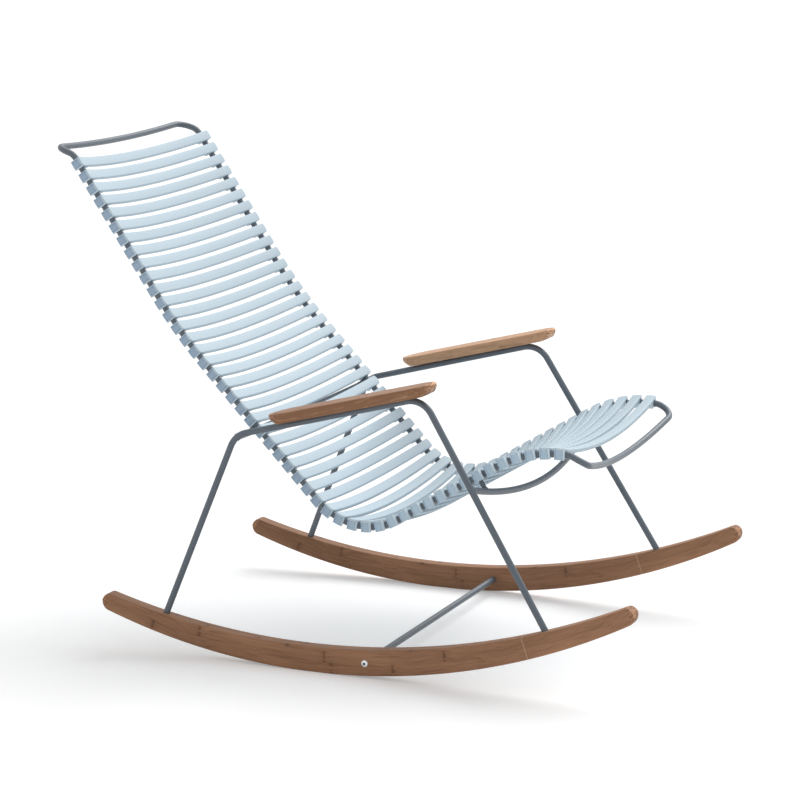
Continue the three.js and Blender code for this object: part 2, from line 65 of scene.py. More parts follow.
# Faces that meet at more than this are shaded as an edge
SHARP_ANGLE = math.radians(35)


def node_size(node):
    """Width, depth and height of a packed node."""
    low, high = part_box(node)
    return high - low


def node_middle(node):
    """Middle of a packed node's box."""
    low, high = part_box(node)
    return (low + high) / 2


# Sizes and colours that a user can change


def length(name, description, default):
    """A length property, in metres."""
    return bpy.props.FloatProperty(
        name=name, description=description, default=default, unit="LENGTH", precision=4
    )


def angle(name, description, default):
    """An angle property whose default is given in degrees."""
    return bpy.props.FloatProperty(
        name=name, description=description, default=math.radians(default), unit="ROTATION"
    )


def number(name, description, default):
    """A plain number property, 0 or more."""
    return bpy.props.FloatProperty(name=name, description=description, default=default, min=0)


def count(name, description, default):
    """A whole number property, 1 or more."""
    return bpy.props.IntProperty(name=name, description=description, default=default, min=1)


def colour(name, description, red, green, blue):
    """A colour property whose default is given as it shows on screen, from 0 to 255."""
    shown = np.array([red, green, blue]) / 255
    linear = np.where(shown > 0.04045, ((shown + 0.055) / 1.055) ** 2.4, shown / 12.92)
    return bpy.props.FloatVectorProperty(
        name=name, description=description, default=linear.tolist(), subtype="COLOR", min=0, max=1
    )


class ChairSeatFrame(bpy.types.PropertyGroup):
    """The closed loop of tube that carries the slats, from its top corners to its front ones."""

    tube_diameter: length("Tube", "Diameter of every frame and bar tube", node_size("rocker_bar").z)
    rail_spacing: length("Rail spacing", "Between the middles of the two rails", 0.46)
    top_hook_run: length("Top hook", "From a top corner to the bend where the back starts", 0.027)
    top_hook_angle: angle("Top hook angle", "Turn where the back starts", 38)
    back_slope: angle("Back slope", "Slope of the upper back", 56.1)
    upper_back: length("Upper back", "Straight length of the upper back", 0.264)
    back_bend_angle: angle("Back bend", "Turn from the upper back to the lower one", 9.7)
    back_bend_radius: length("Back bend radius", "Radius of that turn", 0.904)
    above_mount: length("Above mount", "Straight lower back above the rear crossbar", 0.131)
    below_mount: length("Below mount", "Straight lower back below the rear crossbar", 0.166)
    hip_angle: angle("Hip bend", "Turn from the back to the seat", 77.5)
    hip_radius: length("Hip radius", "Radius of the hip bend", 0.1146)
    seat: length("Seat", "Straight length of the seat", 0.203)
    lip_angle: angle("Lip bend", "Turn at the front of the seat", 31.8)
    lip_radius: length("Lip radius", "Radius of the lip's bend", 0.2095)
    lip: length("Lip", "Straight length of the lip", 0.01)
    lip_hook_angle: angle("Lip hook angle", "Turn where the lip ends", 25)
    lip_hook_run: length("Lip hook", "From the lip to a front corner", 0.026)
    hook_radius: length("Hook radius", "Radius of the bends at both hooks", 0.025)
    corner_radius: length("Corner radius", "Radius of the loop's four corners", 0.024)
    top_bow: length("Top bar bow", "How far the top bar's middle sinks", 0.008)
    lip_bow: length("Front bar bow", "How far the front bar's middle sinks", 0.034)


class ChairSideFrames(bpy.types.PropertyGroup):
    """The two bent tubes at the sides, where their straight runs would meet, and the crossbars."""

    outset: length("Outset", "From a seat rail out to the middle of the rocker", 0.0635)
    outset_height: length("Outset height", "Where the leaning frame is that far out", 0.052)
    lean: angle("Lean", "Lean of each side frame towards the chair's middle", 2.97)
    rear_reach: length("Rear corner reach", "Rear corner behind the floor point", 0.1517)
    rear_height: length("Rear corner height", "Rear corner above the floor", 0.3838)
    arm_rail: length("Arm rail", "Between the two corners", 0.347)
    arm_slope: angle("Arm rail slope", "Slope of the rail under an armrest", 14.6)
    front_leg_slope: angle("Front leg slope", "Slope of a front leg", 58.5)
    rear_leg_slope: angle("Rear leg slope", "Slope of a rear leg", 68.3)
    bend_radius: length("Bend radius", "Radius of both bends", 0.04)
    insert: length("Insert", "How far a leg's foot goes into the rocker", 0.022)
    stub_diameter: length("Stub", "Diameter of the stubs and studs", 0.008)
    weld: length("Weld", "Radius of the weld bead round a joint", 0.0013)
    rear_standoff: length("Rear standoff", "From the rear crossbar's end to the seat rail", 0.0187)
    front_standoff: length("Front standoff", "From the front crossbar's end to the seat rail", 0.014)
    front_bow: length("Front crossbar bow", "How far the front crossbar's middle sinks", 0.043)
    slat_clearance: length("Slat clearance", "Between the rear crossbar and the sagging slats", 0.0015)


class ChairSlats(bpy.types.PropertyGroup):
    """The bowed plastic slats that clip onto the rails."""

    amount: count("Slats", "Number of slats", sum(name.startswith("slat_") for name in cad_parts))
    reach: length("Reach", "Half of a slat's length", node_size("slat_01").x / 2)
    width: length("Width", "Width of a slat along the rail", 0.0176)
    depth: length("Depth", "Depth of the bowed middle", 0.007)
    sag: length("Sag", "How far the middle sinks below the ends", 0.026)
    end_margin: length("End margin", "From an end slat's side to the hook's bend", 0.001)
    rise: length("Rise", "End block's top above the rail's middle", 0.0125)
    skirt: length("Skirt", "How far the end block reaches below the rail", 0.0023)
    lug: length("Lug", "Width of the clip's inner lug", 0.005)
    clip_gap: length("Clip gap", "Between the clip and the rail", 0.0006)
    clip_wrap: angle("Clip wrap", "How far the clip closes round the rail past its middle", 30)
    haunch: length("Haunch", "Sloped step from the end block to the thin middle", 0.016)
    recess: length("Recess", "Depth of the end panel", 0.003)
    rim: length("Rim", "Width of the rim round the end panel", 0.0018)
    channel: length("Channel", "Depth of the channel under the middle", 0.003)
    wall: length("Channel wall", "Thickness of the channel's walls", 0.0024)
    top_edge: length("Top edge", "Radius of the long upper edges in the middle", 0.002)
    block_edge: length("Block edge", "Radius of the long upper edges at the end blocks", 0.0016)
    clip_edge: length("Clip edge", "Radius of the long upper edges over the rail", 0.0003)
    low_edge: length("Lower edge", "Radius of the other edges", 0.0006)
    end_edge: length("End edge", "Radius between the top and the end", 0.0026)
    plan_round: length("Plan round", "Radius of the end's corners seen from above", 0.006)
    crown: length("Crown", "How far the top falls towards its long edges", 0.0005)


class ChairBamboo(bpy.types.PropertyGroup):
    """The bamboo rockers and armrests, and the bar and bolts between the rockers."""

    rocker_thickness: length("Rocker thickness", "Thickness of a rocker", node_size("rocker_left").x)
    rocker_depth: length("Rocker depth", "Depth of a rocker at the floor point", 0.043)
    floor_radius: length("Floor radius", "Radius of a rocker's lower arc", 1.162)
    top_radius: length("Top radius", "Radius of a rocker's upper arc", 1.329)
    top_shift: length("Top shift", "How far behind the floor point the upper arc is lowest", 0.015)
    front_reach: length("Front reach", "From the floor point to the front nose", 0.551)
    rear_reach: length("Rear reach", "From the floor point to the rear nose", 0.384)
    nose: length("Nose", "How far a rounded nose stands out", 0.013)
    rest_flat: length("Rest flat", "Length of the flat on the floor", 0.06)
    rocker_edge: length("Rocker edge", "Radius of a rocker's long edges", 0.003)
    arm_length: length("Armrest length", "Length of an armrest", 0.302)
    arm_width: length("Armrest width", "Width of an armrest", 0.064)
    arm_thickness: length("Armrest thickness", "Thickness of an armrest", 0.0175)
    end_round: length("End round", "Length of an armrest's rounded end", 0.04)
    front_undercut: length("Front undercut", "Length of the slope under an armrest's front end", 0.014)
    rear_undercut: length("Rear undercut", "Length of the slope under an armrest's rear end", 0.021)
    lip: length("Lip", "Thickness left at an armrest's tip", 0.006)
    arm_slope: angle("Armrest slope", "Slope of an armrest", 14.1)
    arm_rise: length("Armrest rise", "From the rail's middle to the armrest's underside", 0.0058)
    overhang: length("Overhang", "Armrest past the front corner of the side frame", 0.031)
    offset: length("Offset", "From the rail's middle outwards to the armrest's", 0.0095)
    stud_inset: length("Stud inset", "From an armrest's end to the stud that carries it", 0.075)
    top_edge: length("Top edge", "Radius of an armrest's upper edge", 0.003)
    low_edge: length("Lower edge", "Radius of an armrest's lower edge", 0.0015)
    arm_crown: length("Crown", "How far an armrest's top falls towards its edge", 0.0006)
    bar_forward: length("Bar forward", "From the floor point forward to the rocker bar", 0.096)
    head_height: length("Bolt head height", "Height of a button head", 0.0035)
    head_rim: length("Bolt rim", "Height of a button head's straight rim", 0.0012)
    socket_width: length("Socket width", "Across the flats of a bolt's hexagon socket", 0.004)
    socket_depth: length("Socket depth", "Depth of a bolt's hexagon socket", 0.002)


class ChairFinishes(bpy.types.PropertyGroup):
    """Colours as they show under plain light."""

    paint: colour("Paint", "Powder coat on the tubes", 96, 106, 116)
    plastic: colour("Plastic", "Slats", 190, 208, 219)
    # Painted light and shade: the panel colours stand in for the shade in the sunk end panels on the back and
    # the light they catch on the seat, and the rim colours are painted highlights on the panels' edges
    panel: colour("Back panel", "A back slat's sunk end panel", 168, 191, 212)
    rim: colour("Back rim", "Worn rim round a back slat's end panel", 218, 234, 244)
    seat_panel_painted_light: colour("Seat panel", "A seat slat's sunk end panel", 198, 222, 238)
    seat_rim_painted_highlight: colour("Seat rim", "Worn rim round a seat slat's end panel", 234, 247, 255)
    rocker_wood: colour("Rocker bamboo", "Body of the rockers", 174, 129, 98)
    rocker_fibre: colour("Rocker fibres", "Dark fibres in the rockers", 123, 87, 62)
    arm_wood: colour("Armrest bamboo", "Body of the armrests", 215, 170, 134)
    arm_fibre: colour("Armrest fibres", "Dark fibres in the armrests", 134, 93, 66)
    glue: colour("Glue", "The rockers' glued seam", 206, 172, 140)
    wood_seam: length("Wood seam", "From the floor point forward to the rockers' glued seam", 0.389)
    steel: colour("Steel", "Bolts", 222, 224, 226)
    # Painted shade: the socket's inside is painted dark for the shade in the hole
    socket_painted_shade: number("Socket tone", "How light a bolt's socket is beside its head", 0.08)


class ChairStage(bpy.types.PropertyGroup):
    """Camera, floor and light."""

    camera_place: bpy.props.FloatVectorProperty(
        name="Camera", description="Where the camera stands", default=(-4.4299, -1.8805, 1.3563),
        subtype="TRANSLATION",
    )
    camera_heading: angle("Heading", "Camera's heading from +X towards +Y", 22.9186)
    camera_dip: angle("Dip", "How far the camera looks down", 11.1682)
    focal_length: number("Focal length", "In millimetres, for a sensor 36 mm wide", 127.793)
    floor_reach: length("Floor", "Half of the floor's width", 60)
    floor_drop: length("Floor drop", "Floor below the rockers, so that the faces don't meet", 0.0004)
    floor_colour: colour("Floor", "Plain pale floor", 230, 230, 230)
    floor_glow: number("Floor glow", "Light added for the camera so that the bare floor is white", 0.3)
    sky: number("Sky", "Strength of the even light all round", 0.5)
    key: number("Key", "Strength of the soft light from above", 2.2)
    key_spread: angle("Key spread", "How wide the soft light is", 50)
    key_from: bpy.props.FloatVectorProperty(
        name="Key side", description="Where the soft light comes from", default=(0.6, -0.25, 0.85),
        subtype="DIRECTION",
    )


GROUPS = {
    "chair_seat_frame": ChairSeatFrame,
    "chair_side_frames": ChairSideFrames,
    "chair_slats": ChairSlats,
    "chair_bamboo": ChairBamboo,
    "chair_finishes": ChairFinishes,
    "chair_stage": ChairStage,
}


# Shapes as whole arrays


def heading_vector(heading):
    """Unit vectors in the side view, Y to the right and Z up: cosine and sine of the heading."""
    return np.stack([np.cos(heading), np.sin(heading)], axis=-1)


def in_space(x, side_points):
    """Side view points moved out to x across the chair."""
    side_points = np.asarray(side_points, float)
    across = np.broadcast_to(x, side_points.shape[:-1])[..., None]
    return np.concatenate([across, side_points], axis=-1)


def unit(vectors):
    """The same directions with length one."""
    vectors = np.asarray(vectors, float)
    return vectors / np.linalg.norm(vectors, axis=-1, keepdims=True)


def run(length):
    """A straight move: its length and no curvature."""
    return length, 0.0


def bend(turn, radius):
    """A round move: arc length is radius times turn, and curvature is one over the radius, signed."""
    return abs(turn) * radius, math.copysign(1 / radius, turn)


class Route:
    """A line in the side view made of straight runs and round bends.

    On a move of curvature k from heading h, the place at distance d is the move's start plus a chord
    of length d sin(kd/2) / (kd/2) at heading h + kd/2, and the heading there is h + kd.
    """

    def __init__(self, start, heading, moves):
        self.lengths, self.curvatures = np.array(moves).T
        turns = self.lengths * self.curvatures
        self.starts = np.concatenate([[0], np.cumsum(self.lengths)])
        self.headings = heading + np.concatenate([[0], np.cumsum(turns)])
        chords = self.lengths * np.sinc(turns / 2 / np.pi)
        steps = chords[:, None] * heading_vector(self.headings[:-1] + turns / 2)
        self.points = start + np.concatenate([np.zeros((1, 2)), np.cumsum(steps, axis=0)])

    def at(self, distances):
        """Places and headings at distances along the line."""
        distances = np.asarray(distances, float)
        move = np.searchsorted(self.starts, distances, side="right") - 1
        move = np.clip(move, 0, len(self.lengths) - 1)
        along = distances - self.starts[move]
        half_turn = along * self.curvatures[move] / 2
        chord = along * np.sinc(half_turn / np.pi)
        reach = chord[..., None] * heading_vector(self.headings[move] + half_turn)
        return self.points[move] + reach, self.headings[move] + 2 * half_turn

    def rings(self, low, high, longest=0.05, sharpest=math.radians(4)):
        """Distances for a tube's rings: each move in equal steps, short where it turns."""
        moves = zip(self.starts[:-1], self.lengths, self.curvatures)
        stretches = [
            np.linspace(start, start + size, math.ceil(max(size / longest, size * abs(bent) / sharpest)) + 1)
            for start, size, bent in moves
        ]
        rings = np.unique(np.round(np.concatenate(stretches), 7))
        rings = rings[(rings > low + 1e-4) & (rings < high - 1e-4)]
        return np.concatenate([[low], rings, [high]])


class Bow:
    """A round bow across the chair between ends at +-reach, whose middle sinks from the sitter.

    At angle a it is radius sin(a) across, and sunk by the sag less radius (1 - cos(a)).
    """

    def __init__(self, end, reach, sag, side):
        self.end, self.sag, self.side = end, sag, side
        self.radius = (reach**2 + sag**2) / (2 * sag)
        self.half_angle = math.asin(reach / self.radius)

    def sunk(self, angles):
        """How far the bow lies below its ends."""
        return self.sag - self.radius * (1 - np.cos(angles))

    def at(self, angles):
        """Places and directions on the bow."""
        angles = np.asarray(angles, float)
        points = self.end - self.sunk(angles)[..., None] * self.side
        directions = in_space(np.cos(angles), np.sin(angles)[..., None] * self.side)
        return in_space(self.radius * np.sin(angles), points), directions


def grid_quads(rows, columns, wrap_rows=False, wrap_columns=False):
    """Corner numbers of a grid's quads, whose points are numbered row by row."""
    row = np.arange(rows if wrap_rows else rows - 1)[:, None]
    column = np.arange(columns if wrap_columns else columns - 1)[None, :]
    next_row, next_column = (row + 1) % rows, (column + 1) % columns
    corners = [(row, column), (row, next_column), (next_row, next_column), (next_row, column)]
    return np.stack([(r * columns + c).ravel() for r, c in corners], axis=-1)


class Shell:
    """One closed surface: its points, its quads and its many-sided caps, facing outwards."""

    def __init__(self, points, quads, caps=()):
        self.points = points.reshape(-1, 3)
        self.faces = quads.tolist() + [list(cap) for cap in caps]
        if self.volume(quads, caps) < 0:
            self.faces = [face[::-1] for face in self.faces]

    def volume(self, quads, caps):
        """Sum over the faces, cut into triangles, of the corners' triple products over six."""
        fans = [quads[:, [0, 1, 2]], quads[:, [0, 2, 3]]]
        fans += [np.stack([np.full(len(c) - 2, c[0]), c[1:-1], c[2:]], axis=-1) for c in map(np.array, caps)]
        first, second, third = np.moveaxis(self.points[np.concatenate(fans)], 1, 0)
        return np.sum(first * np.cross(second, third)) / 6

    def mirrored(self):
        """The same surface on the other side of the chair."""
        twin = Shell.__new__(Shell)
        twin.points = self.points * [-1, 1, 1]
        twin.faces = [face[::-1] for face in self.faces]
        return twin


def ring_shell(rings, capped=True, closed=False):
    """A surface over closed rings in a row, with a cap on the first and the last."""
    amount, sides = rings.shape[:2]
    first = np.arange(sides)
    caps = [first[::-1], first + (amount - 1) * sides] if capped else []
    return Shell(rings, grid_quads(amount, sides, wrap_rows=closed, wrap_columns=True), caps)


def swept_tube(points, directions, reference, radius, sides=32, closed=False):
    """A tube along a line: centre plus radius times (cos(a) first + sin(a) second), for a from 0 to a turn.

    The first direction is the reference made square to the line, and the second is square to both.
    """
    directions = unit(directions)
    reference = np.broadcast_to(reference, directions.shape)
    first = unit(reference - np.sum(reference * directions, axis=-1, keepdims=True) * directions)
    second = np.cross(directions, first)
    turn = np.linspace(0, 2 * np.pi, sides, endpoint=False)[None, :, None]
    rings = points[:, None] + radius * (np.cos(turn) * first[:, None] + np.sin(turn) * second[:, None])
    return ring_shell(rings, not closed, closed)


def straight_tube(start, end, radius, sides=24):
    """A straight round rod between two points."""
    along = np.asarray(end) - np.asarray(start)
    reference = np.eye(3)[np.argmin(np.abs(along))]
    return swept_tube(np.array([start, end]), np.array([along, along]), reference, radius, sides)


def weld_bead(meeting, branch, branch_radius, main, main_radius, bead, sides=10, steps=48):
    """A thin tube along the saddle line where a branch tube meets a main tube.

    At angle a round the branch, the line stands off the main tube's middle by the root of
    main radius squared less (branch radius sin(a)) squared.
    """
    branch = unit(branch)
    main = unit(main - np.dot(main, branch) * branch)
    turn = np.linspace(0, 2 * np.pi, steps, endpoint=False)[:, None]
    outward = np.cos(turn) * main + np.sin(turn) * np.cross(branch, main)
    stand = np.sqrt(np.maximum(main_radius**2 - (branch_radius * np.sin(turn)) ** 2, 0))
    line = meeting + branch_radius * outward + stand * branch
    directions = np.roll(line, -1, axis=0) - np.roll(line, 1, axis=0)
    return swept_tube(line, directions, outward, bead, sides, closed=True)


# Where things are, worked out from the sizes


class Layout:
    """The chair's centrelines and joints, from the scene's sizes."""

    def __init__(self, scene):
        seat, side, bamboo = scene.chair_seat_frame, scene.chair_side_frames, scene.chair_bamboo
        self.seat, self.side, self.bamboo, self.slats = seat, side, bamboo, scene.chair_slats
        self.tube_radius = seat.tube_diameter / 2
        self.rail_reach = seat.rail_spacing / 2
        self.rocker_reach = self.rail_reach + side.outset
        # The frame's bar stands a known way in front of the rockers' floor point
        self.floor_point = node_middle("rocker_bar").y + bamboo.bar_forward
        self.set_rockers()
        self.set_side_frame()
        self.set_seat_rail()

    def set_rockers(self):
        """Centres of the rockers' two arcs: the lower one meets the floor where the flat ends."""
        half_flat = self.bamboo.rest_flat / 2
        floor_height = math.sqrt(self.bamboo.floor_radius**2 - half_flat**2)
        self.floor_centre = np.array([self.floor_point, floor_height])
        top_height = self.bamboo.rocker_depth + self.bamboo.top_radius
        self.top_centre = np.array([self.floor_point + self.bamboo.top_shift, top_height])

    def leg_reach(self, corner, downward):
        """How far down a leg from its corner the rocker's upper arc lies: the further of the two
        places where a line crosses a circle."""
        from_centre = corner - self.top_centre
        nearest = from_centre @ downward
        return math.sqrt(nearest**2 - from_centre @ from_centre + self.bamboo.top_radius**2) - nearest

    def set_side_frame(self):
        """The side frame runs from its front foot up, along under the armrest and down to its rear
        foot. A bend starts radius times the tangent of half its turn before the corner."""
        side = self.side
        rail_heading = -side.arm_slope
        rear_corner = np.array([self.floor_point + side.rear_reach, side.rear_height])
        self.front_corner = rear_corner - side.arm_rail * heading_vector(rail_heading)
        self.down_front_leg = -heading_vector(side.front_leg_slope)
        down_rear_leg = heading_vector(-side.rear_leg_slope)
        front_turn = side.front_leg_slope + side.arm_slope
        rear_turn = side.rear_leg_slope - side.arm_slope
        front_trim = side.bend_radius * math.tan(front_turn / 2)
        rear_trim = side.bend_radius * math.tan(rear_turn / 2)
        front_reach = self.leg_reach(self.front_corner, self.down_front_leg) + side.insert
        rear_reach = self.leg_reach(rear_corner, down_rear_leg) + side.insert
        foot = self.front_corner + front_reach * self.down_front_leg
        self.side_route = Route(foot, side.front_leg_slope, [
            run(front_reach - front_trim),
            bend(-front_turn, side.bend_radius),
            run(side.arm_rail - front_trim - rear_trim),
            bend(-rear_turn, side.bend_radius),
            run(rear_reach - rear_trim),
        ])
        rear_bend = 3
        middle = self.side_route.starts[rear_bend] + self.side_route.lengths[rear_bend] / 2
        self.rear_joint, self.rear_joint_heading = self.side_route.at(middle)

    def onto_frame(self, points):
        """Side view places moved out to the leaning side frame on the left."""
        points = np.asarray(points, float)
        lean = math.tan(self.side.lean)
        return in_space(self.rocker_reach - lean * (points[..., 1] - self.side.outset_height), points)

    def along_frame(self, directions):
        """Side view directions laid along the leaning side frame on the left."""
        return unit(in_space(-math.tan(self.side.lean) * directions[..., 1], directions))

    def set_seat_rail(self):
        """The rail's moves from its top corner to its front one. It passes the rear joint at the rear
        standoff, which places it."""
        seat = self.seat
        moves = [
            run(seat.top_hook_run),
            bend(seat.top_hook_angle, seat.hook_radius),
            run(seat.upper_back),
            bend(-seat.back_bend_angle, seat.back_bend_radius),
            run(seat.above_mount),
            run(seat.below_mount),
            bend(-seat.hip_angle, seat.hip_radius),
            run(seat.seat),
            bend(seat.lip_angle, seat.lip_radius),
            run(seat.lip),
            bend(seat.lip_hook_angle, seat.hook_radius),
            run(seat.lip_hook_run),
        ]
        upper_back, below_mount, seat_run, lip_hook = 2, 5, 7, 10
        heading = seat.back_slope - seat.top_hook_angle - math.pi
        loose = Route(np.zeros(2), heading, moves)
        self.back_heading = loose.headings[below_mount]
        self.back_side = self.sitter_side(self.back_heading)
        mounted = self.rear_joint + self.side.rear_standoff * self.back_side
        self.rail = Route(mounted - loose.points[below_mount], heading, moves)
        self.seat_heading = self.rail.headings[seat_run]
        self.seat_side = self.sitter_side(self.seat_heading)
        under_seat = self.rail.points[seat_run] - self.side.front_standoff * self.seat_side
        along = heading_vector(self.seat_heading)
        apart = under_seat - self.front_corner
        reach = np.cross(apart, along) / np.cross(self.down_front_leg, along)
        self.front_joint = self.front_corner + reach * self.down_front_leg
        inset = self.slats.width / 2 + self.slats.end_margin
        first, last = self.rail.starts[upper_back] + inset, self.rail.starts[lip_hook] - inset
        self.slat_places, self.slat_headings = self.rail.at(np.linspace(first, last, self.slats.amount))

    @staticmethod
    def sitter_side(heading):
        """The side of the rail that the sitter is on: a quarter turn right of its heading."""
        return heading_vector(heading - math.pi / 2)


# Tubes


def round_corner(corner, arriving, leaving, radius, steps=12):
    """Places and directions round a corner: an arc that starts trim before it, with trim the
    radius times the tangent of half the turn."""
    turn = math.acos(float(arriving @ leaving))
    trim = radius * math.tan(turn / 2)
    sideways = unit(leaving - math.cos(turn) * arriving)
    angles = np.linspace(0, turn, steps + 1)[:, None]
    start = corner - trim * arriving
    points = start + radius * (np.sin(angles) * arriving + (1 - np.cos(angles)) * sideways)
    return trim, points, np.cos(angles) * arriving + np.sin(angles) * sideways


def end_bar(layout, distance, sag, away, steps=14):
    """Half of the bowed bar at one end of the rails, from its middle round the corner to the rail.

    Away is 1 where the rail's own heading leads away from the bar, and -1 where it leads to it.
    Returns how much of the rail the corner takes up, then places, directions and the sitter's side.
    """
    place, heading = layout.rail.at(distance)
    side = layout.sitter_side(heading)
    bow = Bow(place, layout.rail_reach, sag, side)
    end, outward = bow.at(bow.half_angle)
    along_rail = away * in_space(0, heading_vector(heading))
    trim, corner, turning = round_corner(end, outward, along_rail, layout.seat.corner_radius)
    bar, along = bow.at(np.linspace(0, bow.half_angle - trim / bow.radius, steps)[:-1])
    places, directions = np.concatenate([bar, corner]), np.concatenate([along, turning])
    return trim, places, directions, np.broadcast_to(in_space(0, side), places.shape)


def seat_loop(layout):
    """The seat frame: half of the loop from the top bar's middle round to the front bar's middle,
    then its mirror image back to the start."""
    rail, seat = layout.rail, layout.seat
    rail_end = rail.starts[-1]
    top_trim, *top = end_bar(layout, 0, seat.top_bow, 1)
    lip_trim, *lip = end_bar(layout, rail_end, seat.lip_bow, -1)
    points, headings = rail.at(rail.rings(top_trim, rail_end - lip_trim)[1:-1])
    straight = in_space(0, heading_vector(headings))
    middle = [in_space(layout.rail_reach, points), straight, in_space(0, layout.sitter_side(headings))]
    lip = [values[::-1] * turned for values, turned in zip(lip, (1, -1, 1))]
    places, directions, sides = (np.concatenate(parts) for parts in zip(top, middle, lip))
    mirror, back = np.array([-1, 1, 1]), slice(-2, 0, -1)
    loop = np.concatenate([places, places[back] * mirror])
    along = np.concatenate([directions, -directions[back] * mirror])
    reference = np.concatenate([sides, sides[back]])
    return [swept_tube(loop, along, reference, layout.tube_radius, closed=True)]


def armrest_place(layout):
    """The armrest's three directions and the middle of its underside, on the left."""
    bamboo, side = layout.bamboo, layout.side
    rearward = layout.along_frame(heading_vector(-bamboo.arm_slope))
    inward = -ACROSS
    inward = unit(inward - (inward @ rearward) * rearward)
    upward = np.cross(rearward, inward)
    to_stud = (bamboo.stud_inset - bamboo.overhang) * heading_vector(-side.arm_slope)
    middle = layout.onto_frame(layout.front_corner + to_stud)
    middle = middle + (bamboo.arm_length / 2 - bamboo.stud_inset) * rearward
    middle = middle - bamboo.offset * inward + bamboo.arm_rise * upward
    return rearward, inward, upward, middle


def side_frame(layout):
    """The left side frame: one bent tube, and two short studs up to the armrest."""
    route, side, bamboo = layout.side_route, layout.side, layout.bamboo
    points, headings = route.at(route.rings(0, route.starts[-1]))
    normal = unit([1, 0, math.tan(side.lean)])
    directions = layout.along_frame(heading_vector(headings))
    shells = [swept_tube(layout.onto_frame(points), directions, normal, layout.tube_radius)]
    rearward, inward, upward, middle = armrest_place(layout)
    reach = bamboo.arm_length / 2 - bamboo.stud_inset
    for along in (-reach, reach):
        head = middle + along * rearward + bamboo.offset * inward
        drop = bamboo.arm_rise + (along + reach) * math.tan(side.arm_slope - bamboo.arm_slope)
        shells.append(straight_tube(head - drop * upward, head, side.stub_diameter / 2))
    return shells


def crossbar(layout, joint, frame_heading, standoff, sag, side_direction, rail_heading):
    """A bowed tube between the side frames, with two stubs up to the seat rails and a weld bead
    round each of its six joints."""
    side, radius = layout.side, layout.tube_radius
    bow = Bow(joint, layout.onto_frame(joint)[0], sag, side_direction)
    points, directions = bow.at(np.linspace(-bow.half_angle, bow.half_angle, 41))
    square = in_space(0, heading_vector(rail_heading))
    shells = [swept_tube(points, directions, square, radius)]
    up, stub_radius = in_space(0, side_direction), side.stub_diameter / 2
    for hand in (-1, 1):
        end, out = bow.at(hand * bow.half_angle)
        tube_direction = layout.along_frame(heading_vector(frame_heading)) * [hand, 1, 1]
        # The bead stays just inside a tube as thick as its own, where the saddle line would fork
        saddle_radius = 0.95 * radius
        shells.append(weld_bead(end, -hand * out, saddle_radius, tube_direction, radius, side.weld))
        turn = hand * math.asin(layout.rail_reach / bow.radius)
        foot, along = bow.at(turn)
        head = foot + (standoff + bow.sunk(turn)) * up
        shells.append(straight_tube(foot, head, stub_radius))
        shells.append(weld_bead(foot, up, stub_radius, along, radius, side.weld))
        shells.append(weld_bead(head, -up, stub_radius, square, radius, side.weld))
    return shells


def rear_crossbar(layout):
    """Joins the side frames' rear bends, and bows just enough to clear the slats that sag there."""
    slats, side = layout.slats, layout.side
    bow = slats.sag + slats.depth - slats.rise + side.slat_clearance + layout.tube_radius - side.rear_standoff
    heading = float(layout.rear_joint_heading)
    return crossbar(
        layout, layout.rear_joint, heading, side.rear_standoff, bow, layout.back_side, layout.back_heading
    )


def front_crossbar(layout):
    """Joins the front legs under the seat."""
    side = layout.side
    return crossbar(
        layout, layout.front_joint, side.front_leg_slope, side.front_standoff, side.front_bow,
        layout.seat_side, layout.seat_heading,
    )


def rocker_bar(layout):
    """The straight bar between the rockers' inner faces."""
    middle = np.array(node_middle("rocker_bar"))
    reach = node_size("rocker_bar").x / 2 * ACROSS
    return [swept_tube(
        np.linspace(middle - reach, middle + reach, 9), np.tile(ACROSS, (9, 1)), [0, 0, 1], layout.tube_radius
    )]


# Slats

# Width of the steep step round a slat's sunk places
SLAT_STEP = 0.00002
# Least flat between such a step and a rounded long edge
SLAT_FLAT = 0.0003
# Corners sharper than this move no further than a corner of this sharpness
MITRE_LIMIT = 0.3


